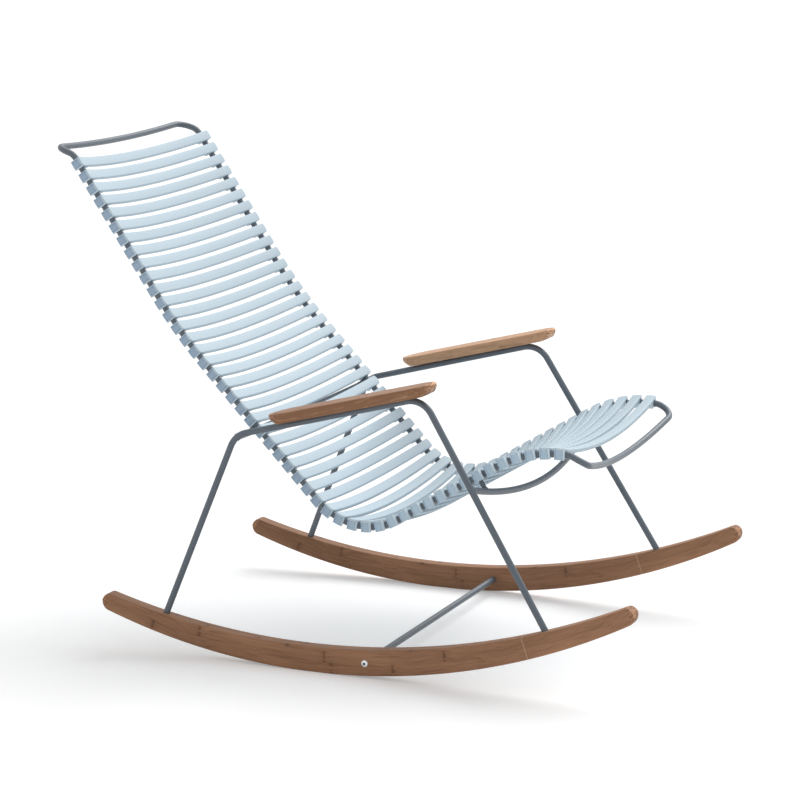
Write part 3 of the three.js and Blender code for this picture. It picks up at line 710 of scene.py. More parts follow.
def slat_half_outline(slats, tube_radius, rail_reach):
    """Half of a slat seen from the front, from the top's middle round the end and back below.

    The top and the belly are arcs about one centre: at x they lie at the centre's height less the
    root of the radius squared less x squared. The clip is an arc round the rail. Returns the points,
    and four marks for each: whether its long edge is an upper one, whether the end panel is sunk
    there, whether the channel is, and how much of the crown it takes.
    """
    bow_radius = (slats.reach**2 + slats.sag**2) / (2 * slats.sag)

    def face(x, lowered):
        """Height of the top, or of an arc lowered from it."""
        return slats.rise - slats.sag + bow_radius - np.sqrt((bow_radius + lowered) ** 2 - x**2)

    bottom = -tube_radius - slats.skirt
    clip = tube_radius + slats.clip_gap
    lug = rail_reach - clip - slats.lug
    clipped = rail_reach - 2 * clip
    top_end = slats.reach - slats.end_edge
    top_x = np.concatenate([np.linspace(0, clipped, 18), np.linspace(clipped, top_end, 12)[1:]])
    top = np.stack([top_x, face(top_x, 0)], axis=-1)
    turn = np.linspace(0, np.pi / 2, 5)[1:, None]
    corner = np.array([top_end, face(top_end, 0) - slats.end_edge])
    edge = corner + slats.end_edge * np.concatenate([np.sin(turn), np.cos(turn)], axis=-1)
    rim = min(face(slats.reach, 0) - slats.rim, edge[-1, 1] - SLIVER)
    end = np.array([[slats.reach, height] for height in (rim, rim - SLAT_STEP, 0, bottom)])
    turn = np.linspace(-slats.clip_wrap, np.pi + slats.clip_wrap, 15)[:, None]
    seat = [rail_reach, 0] + clip * np.concatenate([np.cos(turn), np.sin(turn)], axis=-1)
    feet = np.array([[seat[0, 0], bottom], [seat[-1, 0], bottom], [lug, bottom]])
    belly_x = np.linspace(lug - slats.haunch, 0, 16)
    belly = np.stack([belly_x, face(belly_x, slats.depth)], axis=-1)
    under = np.concatenate([feet[:1], seat, feet[1:], belly[:1]])
    plain = (0, 0, 0, 0)
    stretches = [
        (top, (1, 0, 0, 1)), (edge, (1, 0, 0, 0.5)), (end[:1], plain), (end[1:], (0, 1, 0, 0)),
        (under, plain), (belly[1:], (0, 0, 1, 0)),
    ]
    points = np.concatenate([points for points, _ in stretches])
    return points, np.concatenate([np.tile(mark, (len(points), 1)) for points, mark in stretches])


def mitred_normals(outline):
    """For each corner of a closed outline, how it moves when both its sides move inwards by one:
    the sum of their normals over one plus the normals' product."""
    edges = unit(np.roll(outline, -1, axis=0) - outline)
    normals = np.stack([edges[:, 1], -edges[:, 0]], axis=-1)
    before = np.roll(normals, 1, axis=0)
    spread = 1 + np.sum(normals * before, axis=-1, keepdims=True)
    return (normals + before) / spread.clip(MITRE_LIMIT)


def upper_edge(slats, tube_radius, rail_reach, from_middle):
    """Radius of the long upper edges: one size at the end blocks and another in the thin middle.

    Over the rail little is left above the clip, so the edge is hardly rounded there.
    """
    middle = np.clip((slats.reach - from_middle) / (slats.haunch * 2) - 0.5, 0, 1)
    radius = slats.block_edge + middle * (slats.top_edge - slats.block_edge)
    clip = tube_radius + slats.clip_gap
    over_clip = np.clip(2 - np.abs(from_middle - rail_reach) / clip, 0, 1)
    return radius + over_clip * (slats.clip_edge - radius)


def slat_columns(slats, radius, panel):
    """Columns over a slat's width, for each point of its outline.

    Returns where they stand, how far the rounded edge draws each of them in, and which of them lie
    inside the walls. At angle a round the edge a column stands out by radius times sin(a) and is
    drawn in by radius times (1 - cos(a)).
    """
    half_width = slats.width / 2
    wall = np.minimum(half_width - slats.wall, half_width - radius - SLAT_FLAT)
    wall = np.where(panel > 0, half_width - slats.rim, wall)
    turn = np.linspace(0, np.pi / 2, 5)
    across = np.concatenate([
        0 * wall, wall / 2, wall, wall + SLAT_STEP, half_width - radius + radius * np.sin(turn),
    ], axis=1)
    inside = np.where(np.arange(across.shape[1]) < 3, 1, 0)
    flat = np.zeros((len(radius), across.shape[1] - len(turn)))
    drawn = np.concatenate([flat, radius * (1 - np.cos(turn))], axis=1)
    mirror = slice(None, 0, -1)
    across = np.concatenate([-across[:, mirror], across], axis=1)
    drawn = np.concatenate([drawn[:, mirror], drawn], axis=1)
    return across, drawn, np.concatenate([inside[mirror], inside])


def slat_shape(slats, tube_radius, rail_reach):
    """One slat across the rails, as a grid of its outline by columns over its width.

    Towards each side face the outline is drawn in along its mitred normals, which rounds the long
    edges. Inside the walls the end panel is sunk along the slat, and the channel is sunk upwards. The
    crown falls as the square of the distance from the slat's middle. Returns the places across the
    chair, up and along the rail, and the shares of the end panel and of the rim round it.
    """
    half, marks = slat_half_outline(slats, tube_radius, rail_reach)
    outline = np.concatenate([half, half[-2:0:-1] * [-1, 1]])
    marks = np.concatenate([marks, marks[-2:0:-1]])
    upper, panel, channel, crowned = marks.T[:, :, None]
    inward = mitred_normals(outline)
    radius = upper_edge(slats, tube_radius, rail_reach, np.abs(outline[:, :1]))
    radius = np.where(upper > 0, radius, slats.low_edge)
    across, drawn, inside = slat_columns(slats, radius, panel)
    x = outline[:, :1] + inward[:, :1] * drawn
    x = x - np.sign(outline[:, :1]) * panel * inside * slats.recess
    half_width = slats.width / 2
    fall = crowned * slats.crown * (across / half_width) ** 2
    height = outline[:, 1:] + inward[:, 1:] * drawn + channel * inside * slats.channel - fall
    # Share of the sunk end panel, where the finish paints light and shade
    panels = panel * inside + 0 * across
    # Share of the end face's outer edge round the panel, where the finish paints a highlight
    rim_highlight_share = (1 - panels) * np.clip((np.abs(x) - slats.reach + slats.low_edge) / slats.low_edge, 0, 1)
    # Ends rounded in plan: the last stretch is pulled in, at the corners as a circle falls away
    corner = np.maximum(np.abs(across) - (half_width - slats.plan_round), 0)
    pulled = slats.plan_round - np.sqrt(slats.plan_round**2 - corner**2)
    stretch = 1.2 * slats.plan_round
    past = np.maximum(np.abs(x) - (slats.reach - stretch), 0)
    x = x - np.sign(x) * past * pulled / stretch
    return x, height, across, panels, rim_highlight_share


def slat_shell(shape, place, heading):
    """A slat put on the rail: its height is along the sitter's side and its width along the rail."""
    x, height, across = shape[:3]
    up, along = heading_vector(heading - math.pi / 2), heading_vector(heading)
    side_points = place + height[..., None] * up + across[..., None] * along
    points = np.concatenate([x[..., None] + 0 * across[..., None], side_points], axis=-1)
    rows, columns = across.shape
    first = np.arange(rows) * columns
    return Shell(points, grid_quads(rows, columns, wrap_rows=True), [first, first[::-1] + columns - 1])


# Bamboo


def arc_below(centre, radius, y):
    """Places at y on an arc: its centre's height less the root of the radius squared less the
    distance from the centre squared, and never below the floor."""
    height = centre[1] - np.sqrt(radius**2 - (y - centre[0]) ** 2)
    return np.stack([y, np.maximum(height, 0)], axis=-1)


def rocker_spine(layout):
    """The rocker's middle line between its two arcs, and from there half of its depth, as a vector.

    At each nose the depth shrinks as the cosine of an angle while the line moves out as its sine.
    """
    bamboo, start = layout.bamboo, layout.floor_point
    front_slope = math.asin(bamboo.front_reach / bamboo.floor_radius)
    rear_slope = math.asin(bamboo.rear_reach / bamboo.floor_radius)
    front, rear = start - bamboo.front_reach, start + bamboo.rear_reach
    half_depth = bamboo.rocker_depth / 2
    share = np.linspace(0, 1, 81)
    low = arc_below(layout.floor_centre, bamboo.floor_radius, front + share * (rear - front))
    top_front, top_rear = front + half_depth * math.sin(front_slope), rear - half_depth * math.sin(rear_slope)
    high = arc_below(layout.top_centre, bamboo.top_radius, top_front + share * (top_rear - top_front))
    middle, half = (low + high) / 2, (high - low) / 2
    turn = np.radians(np.linspace(0, 87, 12))[1:, None]
    noses = []
    for end, heading in ((0, math.pi - front_slope), (-1, rear_slope)):
        out = bamboo.nose * heading_vector(heading)
        noses.append((middle[end] + np.sin(turn) * out, np.cos(turn) * half[end]))
    middle = np.concatenate([noses[0][0][::-1], middle, noses[1][0]])
    return middle, np.concatenate([noses[0][1][::-1], half, noses[1][1]])


def rocker(layout):
    """The left rocker: a rounded rectangle carried along its middle line.

    A rounded corner stands at the flat's end plus radius times the sine and cosine of an angle.
    """
    bamboo = layout.bamboo
    middle, half = rocker_spine(layout)
    half_height = np.linalg.norm(half, axis=-1, keepdims=True)
    half_width = bamboo.rocker_thickness / 2
    edge = np.minimum(bamboo.rocker_edge, 0.8 * half_height)
    level = half_height - edge
    flat = half_width - bamboo.rocker_edge
    turn = np.linspace(0, np.pi / 2, 6)
    side_steps = np.linspace(1, -1, 7)[None, 1:-1]
    flat_steps = np.linspace(1, -1, 5)[None, 1:-1]
    # From the top's rounded corner down the side and in along the underside, then the other half
    round_half = [
        (flat + bamboo.rocker_edge * np.sin(turn) + 0 * level, level + edge * np.cos(turn)),
        (half_width + 0 * level * side_steps, level * side_steps),
        (flat + bamboo.rocker_edge * np.cos(turn) + 0 * level, -level - edge * np.sin(turn)),
        (flat * flat_steps + 0 * level, -half_height + 0 * flat_steps),
    ]
    x, up = (np.concatenate(parts, axis=1) for parts in zip(*round_half))
    x, up = np.concatenate([x, -x], axis=1), np.concatenate([up, -up], axis=1)
    side_points = middle[:, None] + (up / half_height)[..., None] * half[:, None]
    points = np.concatenate([(layout.rocker_reach + x)[..., None], side_points], axis=-1)
    return [ring_shell(points)]


def rocker_grain(layout, hand, points):
    """Place in the wood: the lower arc's radius times the angle along it, the distance across the
    thickness, and the radius less the distance from the arc's centre."""
    flat = points[:, 1:] - layout.floor_centre
    around = np.arctan2(flat[:, 0], -flat[:, 1])
    depth = layout.bamboo.floor_radius - np.linalg.norm(flat, axis=-1)
    across = points[:, 0] - hand * layout.rocker_reach
    return np.stack([around * layout.bamboo.floor_radius, across, depth], axis=-1)


def armrest_outline(bamboo):
    """An armrest seen from above, and its spine: for each point the nearest place on the middle
    line. The ends are half ellipses, the cosine and sine of an angle times their two reaches."""
    straight = bamboo.arm_length / 2 - bamboo.end_round
    half_width = bamboo.arm_width / 2
    turn = np.linspace(-np.pi / 2, np.pi / 2, 33)
    end = np.stack([straight + bamboo.end_round * np.cos(turn), half_width * np.sin(turn)], axis=-1)
    flank_x = np.linspace(straight, -straight, 22)[1:-1]
    flank = np.stack([flank_x, np.full_like(flank_x, half_width)], axis=-1)
    outline = np.concatenate([end, flank, -end, -flank])
    spine = np.stack([np.clip(outline[:, 0], -straight, straight), 0 * outline[:, 0]], axis=-1)
    return outline, spine


def armrest_shell(layout):
    """The left armrest: its plan outline drawn in towards its middle line, ring by ring.

    The rings go from the middle of the crowned top over the rounded edge, down the side, in along
    the slope under each end and to the middle of the underside. The crown falls as the square of
    the share of the way out, and a rounded edge goes by the sine and cosine of an angle.
    """
    bamboo = layout.bamboo
    outline, spine = armrest_outline(bamboo)
    out = outline - spine
    reach = np.linalg.norm(out, axis=-1)
    thickness, edge = bamboo.arm_thickness, bamboo.top_edge

    def underside(inset):
        """Height under the board at an inset: a straight slope up over the undercut at each end."""
        x = spine[:, 0] + (1 - inset / reach) * out[:, 0]
        undercut = np.where(x > 0, bamboo.rear_undercut, bamboo.front_undercut)
        past = np.abs(x) - (bamboo.arm_length / 2 - undercut)
        return np.clip(past / undercut, 0, 1) * (thickness - bamboo.lip)

    rings = []

    def ring(inset, height):
        """One more ring, this far in from the outline and this high above the underside."""
        rings.append(np.broadcast_arrays(inset, height, reach)[:2])

    for share in (0, 0.3, 0.55, 0.75, 0.9):
        ring((1 - share) * (reach - edge) + edge, thickness - bamboo.arm_crown * share**2)
    rim = thickness - bamboo.arm_crown - edge
    for turn in np.linspace(0, math.pi / 2, 7):
        ring(edge * (1 - math.sin(turn)), rim + edge * math.cos(turn))
    lower = underside(0)
    soft = np.minimum(bamboo.low_edge, (rim - lower) / 2)
    for share in (0.35, 0.7):
        ring(0, rim + share * (lower + soft - rim))
    for turn in np.linspace(0, math.pi / 2, 4):
        ring(soft * (1 - math.cos(turn)), lower + soft * (1 - math.sin(turn)))
    # The rings of the slope go in to just past where it ends
    slope_end = 1.2 * max(bamboo.rear_undercut, bamboo.front_undercut)
    for share in (0.25, 0.5, 0.75, 1):
        inset = soft + share * (slope_end - soft)
        ring(inset, underside(inset))
    for share in (0.6, 0.3, 0):
        ring(reach - share * (reach - slope_end), 0)
    inset, height = np.moveaxis(np.array(rings), 1, 0)
    flat = spine + (1 - inset / reach)[..., None] * out
    rearward, inward, upward, middle = armrest_place(layout)
    points = middle + flat[..., :1] * rearward + flat[..., 1:] * inward + height[..., None] * upward
    return [ring_shell(points, capped=False)]


def armrest_grain(layout, hand, points):
    """Place in the wood: along the armrest, across it and up through its thickness."""
    rearward, inward, upward, middle = (own * [hand, 1, 1] for own in armrest_place(layout))
    return (points - middle) @ np.stack([rearward, inward, upward], axis=-1)


def bolt_shell(layout, steps=72):
    """The left bolt: a button head turned about the bolt's line, and its shank.

    The dome's height is that of an ellipse: one less the square of radius over head radius, rooted.
    The hexagon socket's wall is half its width over the cosine of the angle from the nearest flat's
    middle. Returns the marks of the socket's inside too, where the finish paints shade dark.
    """
    bamboo = layout.bamboo
    low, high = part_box("rocker_bolt_left")
    middle = node_middle("rocker_bolt_left")
    head_radius = (high.y - low.y) / 2
    seat = high.x - bamboo.head_height
    floor = bamboo.head_height - bamboo.socket_depth
    around = np.linspace(0, 2 * np.pi, steps, endpoint=False)
    sixth = math.pi / 3
    socket = bamboo.socket_width / 2 / np.cos((around + sixth / 2) % sixth - sixth / 2)
    # The dome starts a little inside the rim, and the socket's mouth is chamfered. Small caps close
    # the head's back and the socket's floor.
    soft_rim, mouth, back_cap, floor_cap = 0.0002, 0.00015, 0.0005, 0.0003
    share = np.linspace(0, 1, 9)[:, None]
    dome = head_radius - soft_rim + (socket + mouth - head_radius + soft_rim) * share
    dome_height = bamboo.head_height - bamboo.head_rim
    rise = dome_height * np.sqrt(1 - (dome / head_radius) ** 2) + bamboo.head_rim
    outside = [(back_cap, 0), (head_radius, 0), (head_radius, bamboo.head_rim)]
    inside = [(socket, rise[-1] - mouth), (socket, floor), (floor_cap, floor)]
    rings = [np.broadcast_arrays(*ring, around)[:2] for ring in [*outside, *zip(dome, rise), *inside]]
    radii, heights = np.moveaxis(np.array(rings), 1, 0)
    points = np.stack([
        seat + heights, middle.y + radii * np.cos(around), middle.z + radii * np.sin(around),
    ], axis=-1)
    # The shank reaches a little way into the head
    start, end = ([x, middle.y, middle.z] for x in (low.x, seat + SLIVER))
    shank = straight_tube(start, end, head_radius / 2)
    # The socket's inside, marked for its painted shade
    sunk = np.repeat(np.arange(len(rings)) >= len(rings) - len(inside), steps)
    return [ring_shell(points), shank], {"socket": np.concatenate([sunk, np.zeros(len(shank.points))])}


# Finishes


class Wire:
    """A node's output in shader maths. An expression on values adds the Math nodes it needs."""

    def __init__(self, nodes, socket):
        self.nodes, self.socket = nodes, socket

    def __add__(self, other):
        return self.nodes.maths("ADD", self, other)

    def __sub__(self, other):
        return self.nodes.maths("SUBTRACT", self, other)

    def __rsub__(self, other):
        return self.nodes.maths("SUBTRACT", other, self)

    def __mul__(self, other):
        return self.nodes.maths("MULTIPLY", self, other)

    def __truediv__(self, other):
        return self.nodes.maths("DIVIDE", self, other)

    __radd__ = __add__
    __rmul__ = __mul__


class Nodes:
    """The nodes of a material or of the world."""

    def __init__(self, owner):
        owner.use_nodes = True
        self.tree = owner.node_tree
        self.tree.nodes.clear()

    def node(self, kind, inputs=None, output=0, **settings):
        """Adds a node with its settings, then the values or wires of its sockets."""
        made = self.tree.nodes.new(kind)
        for name, value in settings.items():
            setattr(made, name, value)
        for key, value in (inputs or {}).items():
            if isinstance(value, Wire):
                self.tree.links.new(value.socket, made.inputs[key])
            else:
                made.inputs[key].default_value = value
        return Wire(self, made.outputs[output] if made.outputs else None)

    def maths(self, operation, first, second=0.0):
        """One Math node."""
        return self.node("ShaderNodeMath", {0: first, 1: second}, operation=operation)

    def background_rays(self):
        """1 for rays that show the background: the camera's, and those of mirrors and glass."""
        camera, glossy, glass = (
            self.node("ShaderNodeLightPath", output=f"Is {kind} Ray")
            for kind in ("Camera", "Glossy", "Transmission")
        )
        return camera + glossy + glass


class Finish(Nodes):
    """A material and the nodes that make it."""

    def __init__(self, name):
        self.material = bpy.data.materials.new(name)
        super().__init__(self.material)

    def mark(self, name):
        """A value that the mesh carries."""
        return self.node("ShaderNodeAttribute", output="Fac", attribute_name=name)

    def noise(self, vector, scale=1, detail=2, roughness=0.5):
        """Soft random values from 0 to 1."""
        inputs = {"Vector": vector, "Scale": scale, "Detail": detail, "Roughness": roughness}
        return self.node("ShaderNodeTexNoise", inputs)

    def chance(self, x, y, z):
        """A value from 0 to 1 that is the same wherever these three numbers are the same."""
        place = self.node("ShaderNodeCombineXYZ", {"X": x, "Y": y, "Z": z})
        return self.node("ShaderNodeTexWhiteNoise", {"Vector": place}, output="Value")

    def stretched(self, vector, x, y, z):
        """The vector with each of its parts multiplied."""
        return self.node("ShaderNodeMapping", {"Vector": vector, "Scale": (x, y, z)}, vector_type="POINT")

    def step(self, value, low, high):
        """0 below low, 1 above high and smooth between."""
        inputs = {"Value": value, "From Min": low, "From Max": high}
        return self.node("ShaderNodeMapRange", inputs, interpolation_type="SMOOTHSTEP")

    def blend(self, share, first, second):
        """The first colour turning into the second: on this node 0 is the share's socket, 6 and 7
        are the colours' and 2 is the blended colour's."""
        inputs = {0: share, 6: first, 7: second}
        return self.node("ShaderNodeMix", inputs, output=2, data_type="RGBA")

    def bump(self, height, distance, strength):
        """A normal tilted as if the surface rose by this height."""
        inputs = {"Height": height, "Distance": distance, "Strength": strength}
        return self.node("ShaderNodeBump", inputs)

    def surface(self, **inputs):
        """The material's shader, with underscores in its sockets' names for spaces."""
        inputs = {name.replace("_", " "): value for name, value in inputs.items()}
        shader = self.node("ShaderNodeBsdfPrincipled", inputs)
        self.node("ShaderNodeOutputMaterial", {"Surface": shader})
        return self.material


def shade_of(tint, factor=1.0):
    """A colour made lighter or darker, with its alpha."""
    return tuple(min(1, channel * factor) for channel in tint) + (1,)


def painted_steel(finishes):
    """Satin powder coat: a fine orange peel and a slight change of tone."""
    paint = Finish("painted_steel")
    place = paint.node("ShaderNodeTexCoord", output="Object")
    tone = paint.noise(place, scale=14)
    peel = paint.noise(place, scale=900)
    return paint.surface(
        Base_Color=paint.blend(tone, shade_of(finishes.paint, 0.92), shade_of(finishes.paint, 1.08)),
        Roughness=0.36 + tone * 0.08,
        Normal=paint.bump(peel, distance=0.00004, strength=0.4),
        Coat_Weight=0.12,
        Coat_Roughness=0.3,
    )


def slat_plastic(finishes):
    """Matt moulded plastic under a fine grained skin. Each slat has its own slight tone. At each end the sunk
    panel is painted as light and shade, darker than the plastic on the back and paler on the seat, and the
    rim round it is painted paler as a painted highlight, more so on the seat."""
    plastic = Finish("slat_plastic")
    place = plastic.node("ShaderNodeTexCoord", output="Object")
    tone, seat, panel, rim = map(plastic.mark, ("tone", "seat", "panel", "rim"))
    cloud = plastic.noise(place, scale=9, detail=3)
    grain = plastic.noise(place, scale=1600)
    mottle = tone * 0.6 + cloud * 0.4
    face = plastic.blend(mottle, shade_of(finishes.plastic, 0.955), shade_of(finishes.plastic, 1.03))
    # Painted light and shade in the end panels: darker on the back, paler on the seat
    sunk = plastic.blend(seat, shade_of(finishes.panel), shade_of(finishes.seat_panel_painted_light))
    # Painted highlight on the rims round the end panels, paler on the seat
    rim_highlight_colour = plastic.blend(seat, shade_of(finishes.rim), shade_of(finishes.seat_rim_painted_highlight))
    return plastic.surface(
        Base_Color=plastic.blend(rim, plastic.blend(panel, face, sunk), rim_highlight_colour),
        Roughness=0.46 + grain * 0.1,
        Normal=plastic.bump(grain, distance=0.00004, strength=0.4),
    )


def bamboo_wood(name, body, fibre, glue, roughness, middle, tip, seam):
    """Laminated bamboo, oiled: strips side by side, each made of lengths with their own tone, streaks
    and fine fibres along them, and the short dark marks of the stalks' knots.

    Further than the tip from the board's middle the end grain shows, and a thin pale line of glue
    lies at the seam.
    """
    strip_width, strip_depth, strip_length, between_knots = 0.009, 0.0195, 0.31, 0.15
    wood = Finish(name)
    place = wood.node("ShaderNodeAttribute", output="Vector", attribute_name="grain")
    along, across, height = (
        wood.node("ShaderNodeSeparateXYZ", {"Vector": place}, output=part) for part in "XYZ"
    )
    layer = wood.maths("FLOOR", across / strip_width)
    strip = wood.maths("FLOOR", height / strip_depth)
    shift = wood.chance(layer, strip, 0.5)
    stretch = wood.maths("FLOOR", (along + seam + shift * strip_length) / strip_length)
    own = wood.chance(layer, strip, stretch)
    # Streaks wander a little across the board
    wander = wood.noise(wood.stretched(place, 7, 7, 7)) * 0.03
    bent = wood.node("ShaderNodeCombineXYZ", {"X": along, "Y": across + wander, "Z": height + wander})
    clouds = wood.noise(wood.stretched(bent, 6, 45, 45), detail=3)
    streaks = wood.noise(wood.stretched(bent, 9, 260, 260), detail=3, roughness=0.6)
    fibres = wood.noise(wood.stretched(place, 30, 1500, 1500), detail=3, roughness=0.6)
    # A knot is a mark a few millimetres long, where its strip's own place comes round
    rough = wood.noise(wood.stretched(place, 60, 200, 200))
    to_knot = wood.maths("PINGPONG", along + own * 0.4 + rough * 0.008, between_knots)
    patch = wood.step(rough, 0.3, 0.55)
    knot = (1 - wood.step(to_knot, 0.001, 0.0045)) * patch
    halo = (1 - wood.step(to_knot, 0.0, 0.02)) * patch
    shade = wood.blend(wood.step(clouds, 0.32, 0.68), shade_of(body, 0.86), shade_of(body, 1.12))
    # Each layer covers its share of what is below: the marked darker parts (the right armrest's darker
    # bamboo, and the painted shade towards the left rocker's rear), dark and pale streaks, darker strips,
    # fibres, and the knots with the darker wood round them
    layers = [
        (wood.mark("tone") * 0.95, fibre, 1.08),
        (wood.step(streaks, 0.5, 0.72) * 0.5, fibre, 0.95),
        (wood.step(streaks, 0.5, 0.3) * 0.35, body, 1.3),
        (own * 0.3, body, 0.74),
        (wood.step(fibres, 0.45, 0.7) * 0.3, fibre, 0.9),
        (halo * 0.22, fibre, 0.9),
        (knot * 0.55, fibre, 0.5),
    ]
    for share, tint, factor in layers:
        shade = wood.blend(share, shade, shade_of(tint, factor))
    # End grain: pale and dark bands across the board
    bands = wood.noise(wood.stretched(place, 150, 60, 420), detail=3, roughness=0.6)
    end = wood.step(wood.maths("ABSOLUTE", along - middle), tip, tip + 0.006)
    ends = wood.blend(wood.step(bands, 0.4, 0.6), shade_of(fibre, 0.95), shade_of(body, 1.3))
    shade = wood.blend(end * 0.75, shade, ends)
    line = 1 - wood.step(wood.maths("ABSOLUTE", along + seam), 0.0005, 0.0011)
    shade = wood.blend(line * 0.7, shade, shade_of(glue))
    return wood.surface(
        Base_Color=shade,
        Roughness=roughness + fibres * 0.12,
        Specular_IOR_Level=0.25,
        Normal=wood.bump(fibres - knot * 0.3, distance=0.00012, strength=0.6),
    )


def bolt_steel(finishes):
    """Turned stainless steel: fine rings of brushing round the bolt's line."""
    steel = Finish("stainless_steel")
    place = steel.node("ShaderNodeTexCoord", output="Object")
    brushing = steel.noise(steel.stretched(place, 3000, 500, 500))
    turned = steel.blend(brushing, shade_of(finishes.steel, 0.9), shade_of(finishes.steel, 1.05))
    return steel.surface(
        # Painted shade: the socket's inside is painted dark
        Base_Color=steel.blend(steel.mark("socket"), turned, shade_of(finishes.steel, finishes.socket_painted_shade)),
        Roughness=0.24 + brushing * 0.14,
        Metallic=1.0,
    )


# Pieces


def add_piece(name, shells, material, nodes, grain=None, marks=None, weld=False):
    """Makes an object of closed shells, hides the packed nodes whose place it takes, and hangs it on the
    chair's body.

    The grain gives points their places in the wood. The marks are other values for the finish.
    """
    starts = np.cumsum([0] + [len(shell.points) for shell in shells]).tolist()
    points = np.concatenate([shell.points for shell in shells])
    faces = [[corner + start for corner in face] for shell, start in zip(shells, starts)
             for face in shell.faces]
    mesh = bpy.data.meshes.new(name)
    mesh.from_pydata(points, [], faces)
    if weld:
        close_seams(mesh)
    mesh.polygons.foreach_set("use_smooth", np.ones(len(mesh.polygons), bool))
    mesh.set_sharp_from_angle(angle=SHARP_ANGLE)
    if grain:
        places = np.empty(len(mesh.vertices) * 3, np.float32)
        mesh.vertices.foreach_get("co", places)
        values = grain(places.reshape(-1, 3).astype(float))
        mesh.attributes.new("grain", "FLOAT_VECTOR", "POINT").data.foreach_set("vector", values.ravel())
    for mark, values in (marks or {}).items():
        values = np.broadcast_to(np.ravel(values), len(mesh.vertices)).astype(np.float32)
        mesh.attributes.new(mark, "FLOAT", "POINT").data.foreach_set("value", values)
    mesh.materials.append(material)
    piece = bpy.data.objects.new(name, mesh)
    bpy.context.scene.collection.objects.link(piece)
    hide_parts(*nodes)
    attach(piece, BODY)


def close_seams(mesh):
    """Merges the points that meet on a seam or at a pole."""
    work = bmesh.new()
    work.from_mesh(mesh)
    bmesh.ops.remove_doubles(work, verts=work.verts, dist=1e-6)
    bmesh.ops.dissolve_degenerate(work, dist=1e-7, edges=work.edges)
    work.to_mesh(mesh)
    work.free()


def add_pair(name, shells, material, node, grain=None, marks=({}, {}), weld=False):
    """A piece on the left and its mirror image on the right, with the marks of each."""
    mirrored = [shell.mirrored() for shell in shells]
    for side, hand, own, own_marks in (("left", 1, shells, marks[0]), ("right", -1, mirrored, marks[1])):
        own_grain = grain and partial(grain, hand)
        add_piece(f"{side}_{name}", own, material, [f"{node}_{side}"], own_grain, own_marks, weld)


class ChairOperator:
    """What every operator of the chair shares."""

    bl_options = {"REGISTER", "UNDO"}

    def execute(self, context):
        self.build(context.scene, Layout(context.scene))
        return {"FINISHED"}


class CHAIR_OT_tubes(ChairOperator, bpy.types.Operator):
    """Builds the seat frame, the side frames, the crossbars and the rocker bar"""

    bl_idname = "chair.tubes"
    bl_label = "Tubes"

    def build(self, scene, layout):
        paint = painted_steel(scene.chair_finishes)
        add_piece("seat_loop", seat_loop(layout), paint, ["seat_frame"])
        add_pair("frame_tube", side_frame(layout), paint, "side_frame")
        add_piece("rear_bar", rear_crossbar(layout), paint, ["rear_crossbar"])
        add_piece("front_bar", front_crossbar(layout), paint, ["front_crossbar"])
        add_piece("low_bar", rocker_bar(layout), paint, ["rocker_bar"])


class CHAIR_OT_slats(ChairOperator, bpy.types.Operator):
    """Builds the bowed slats, each clipped on the rails at its own place and slope"""

    bl_idname = "chair.slats"
    bl_label = "Slats"

    def build(self, scene, layout):
        plastic = slat_plastic(scene.chair_finishes)
        slats = scene.chair_slats
        shape = slat_shape(slats, layout.tube_radius, layout.rail_reach)
        tones = np.random.default_rng(7).random(slats.amount)
        # How far round the hip bend each slat is turned, from the back to the seat, which sets how its end
        # panels and rims are painted as light and shade
        turned = np.clip((layout.back_heading - layout.slat_headings) / layout.seat.hip_angle, 0, 1)
        rows = zip(layout.slat_places, layout.slat_headings, tones, turned)
        for number, (place, heading, tone, seat) in enumerate(rows, 1):
            shell = slat_shell(shape, place, heading)
            node = f"slat_{number:02d}"
            # The panel and rim marks place the painted light and shade of the end panels and the painted
            # highlight of their rims
            marks = {"tone": tone, "seat": seat, "panel": shape[3], "rim": shape[4]}
            add_piece(f"bowed_{node}", [shell], plastic, [node], marks=marks)


class CHAIR_OT_rockers(ChairOperator, bpy.types.Operator):
    """Builds the two bamboo rockers"""

    bl_idname = "chair.rockers"
    bl_label = "Rockers"

    def build(self, scene, layout):
        finishes, bamboo = scene.chair_finishes, scene.chair_bamboo
        front, rear = (
            bamboo.floor_radius * math.asin(reach / bamboo.floor_radius)
            for reach in (bamboo.front_reach, bamboo.rear_reach)
        )
        # Along the arc the wood's middle is between the noses, and only the noses show end grain
        middle, tip = (rear - front) / 2, (rear + front) / 2 + 0.002
        wood = bamboo_wood(
            "rocker_bamboo", finishes.rocker_wood, finishes.rocker_fibre, finishes.glue,
            roughness=0.5, middle=middle, tip=tip, seam=finishes.wood_seam,
        )
        shells = rocker(layout)
        # Painted shade: the left rocker is painted darker towards its rear end, where shade falls on it
        places, shares = [-0.36, -0.28, 0.08, 0.22], [0, 0.35, 0.35, 0.8]
        dark = np.interp(shells[0].points[:, 1] - layout.floor_point, places, shares)
        marks, grain = ({"tone": dark}, {"tone": 0}), partial(rocker_grain, layout)
        add_pair("runner", shells, wood, "rocker", grain, marks)


class CHAIR_OT_armrests(ChairOperator, bpy.types.Operator):
    """Builds the two bamboo armrests"""

    bl_idname = "chair.armrests"
    bl_label = "Armrests"

    def build(self, scene, layout):
        finishes = scene.chair_finishes
        # A seam a metre away isn't on the board
        tip, seam = layout.bamboo.arm_length / 2 - 0.012, 1.0
        wood = bamboo_wood(
            "arm_bamboo", finishes.arm_wood, finishes.arm_fibre, finishes.glue,
            roughness=0.45, middle=0.0, tip=tip, seam=seam,
        )
        # The right armrest is of darker bamboo
        marks, grain = ({"tone": 0}, {"tone": 1}), partial(armrest_grain, layout)
        add_pair("arm_board", armrest_shell(layout), wood, "armrest", grain, marks, weld=True)


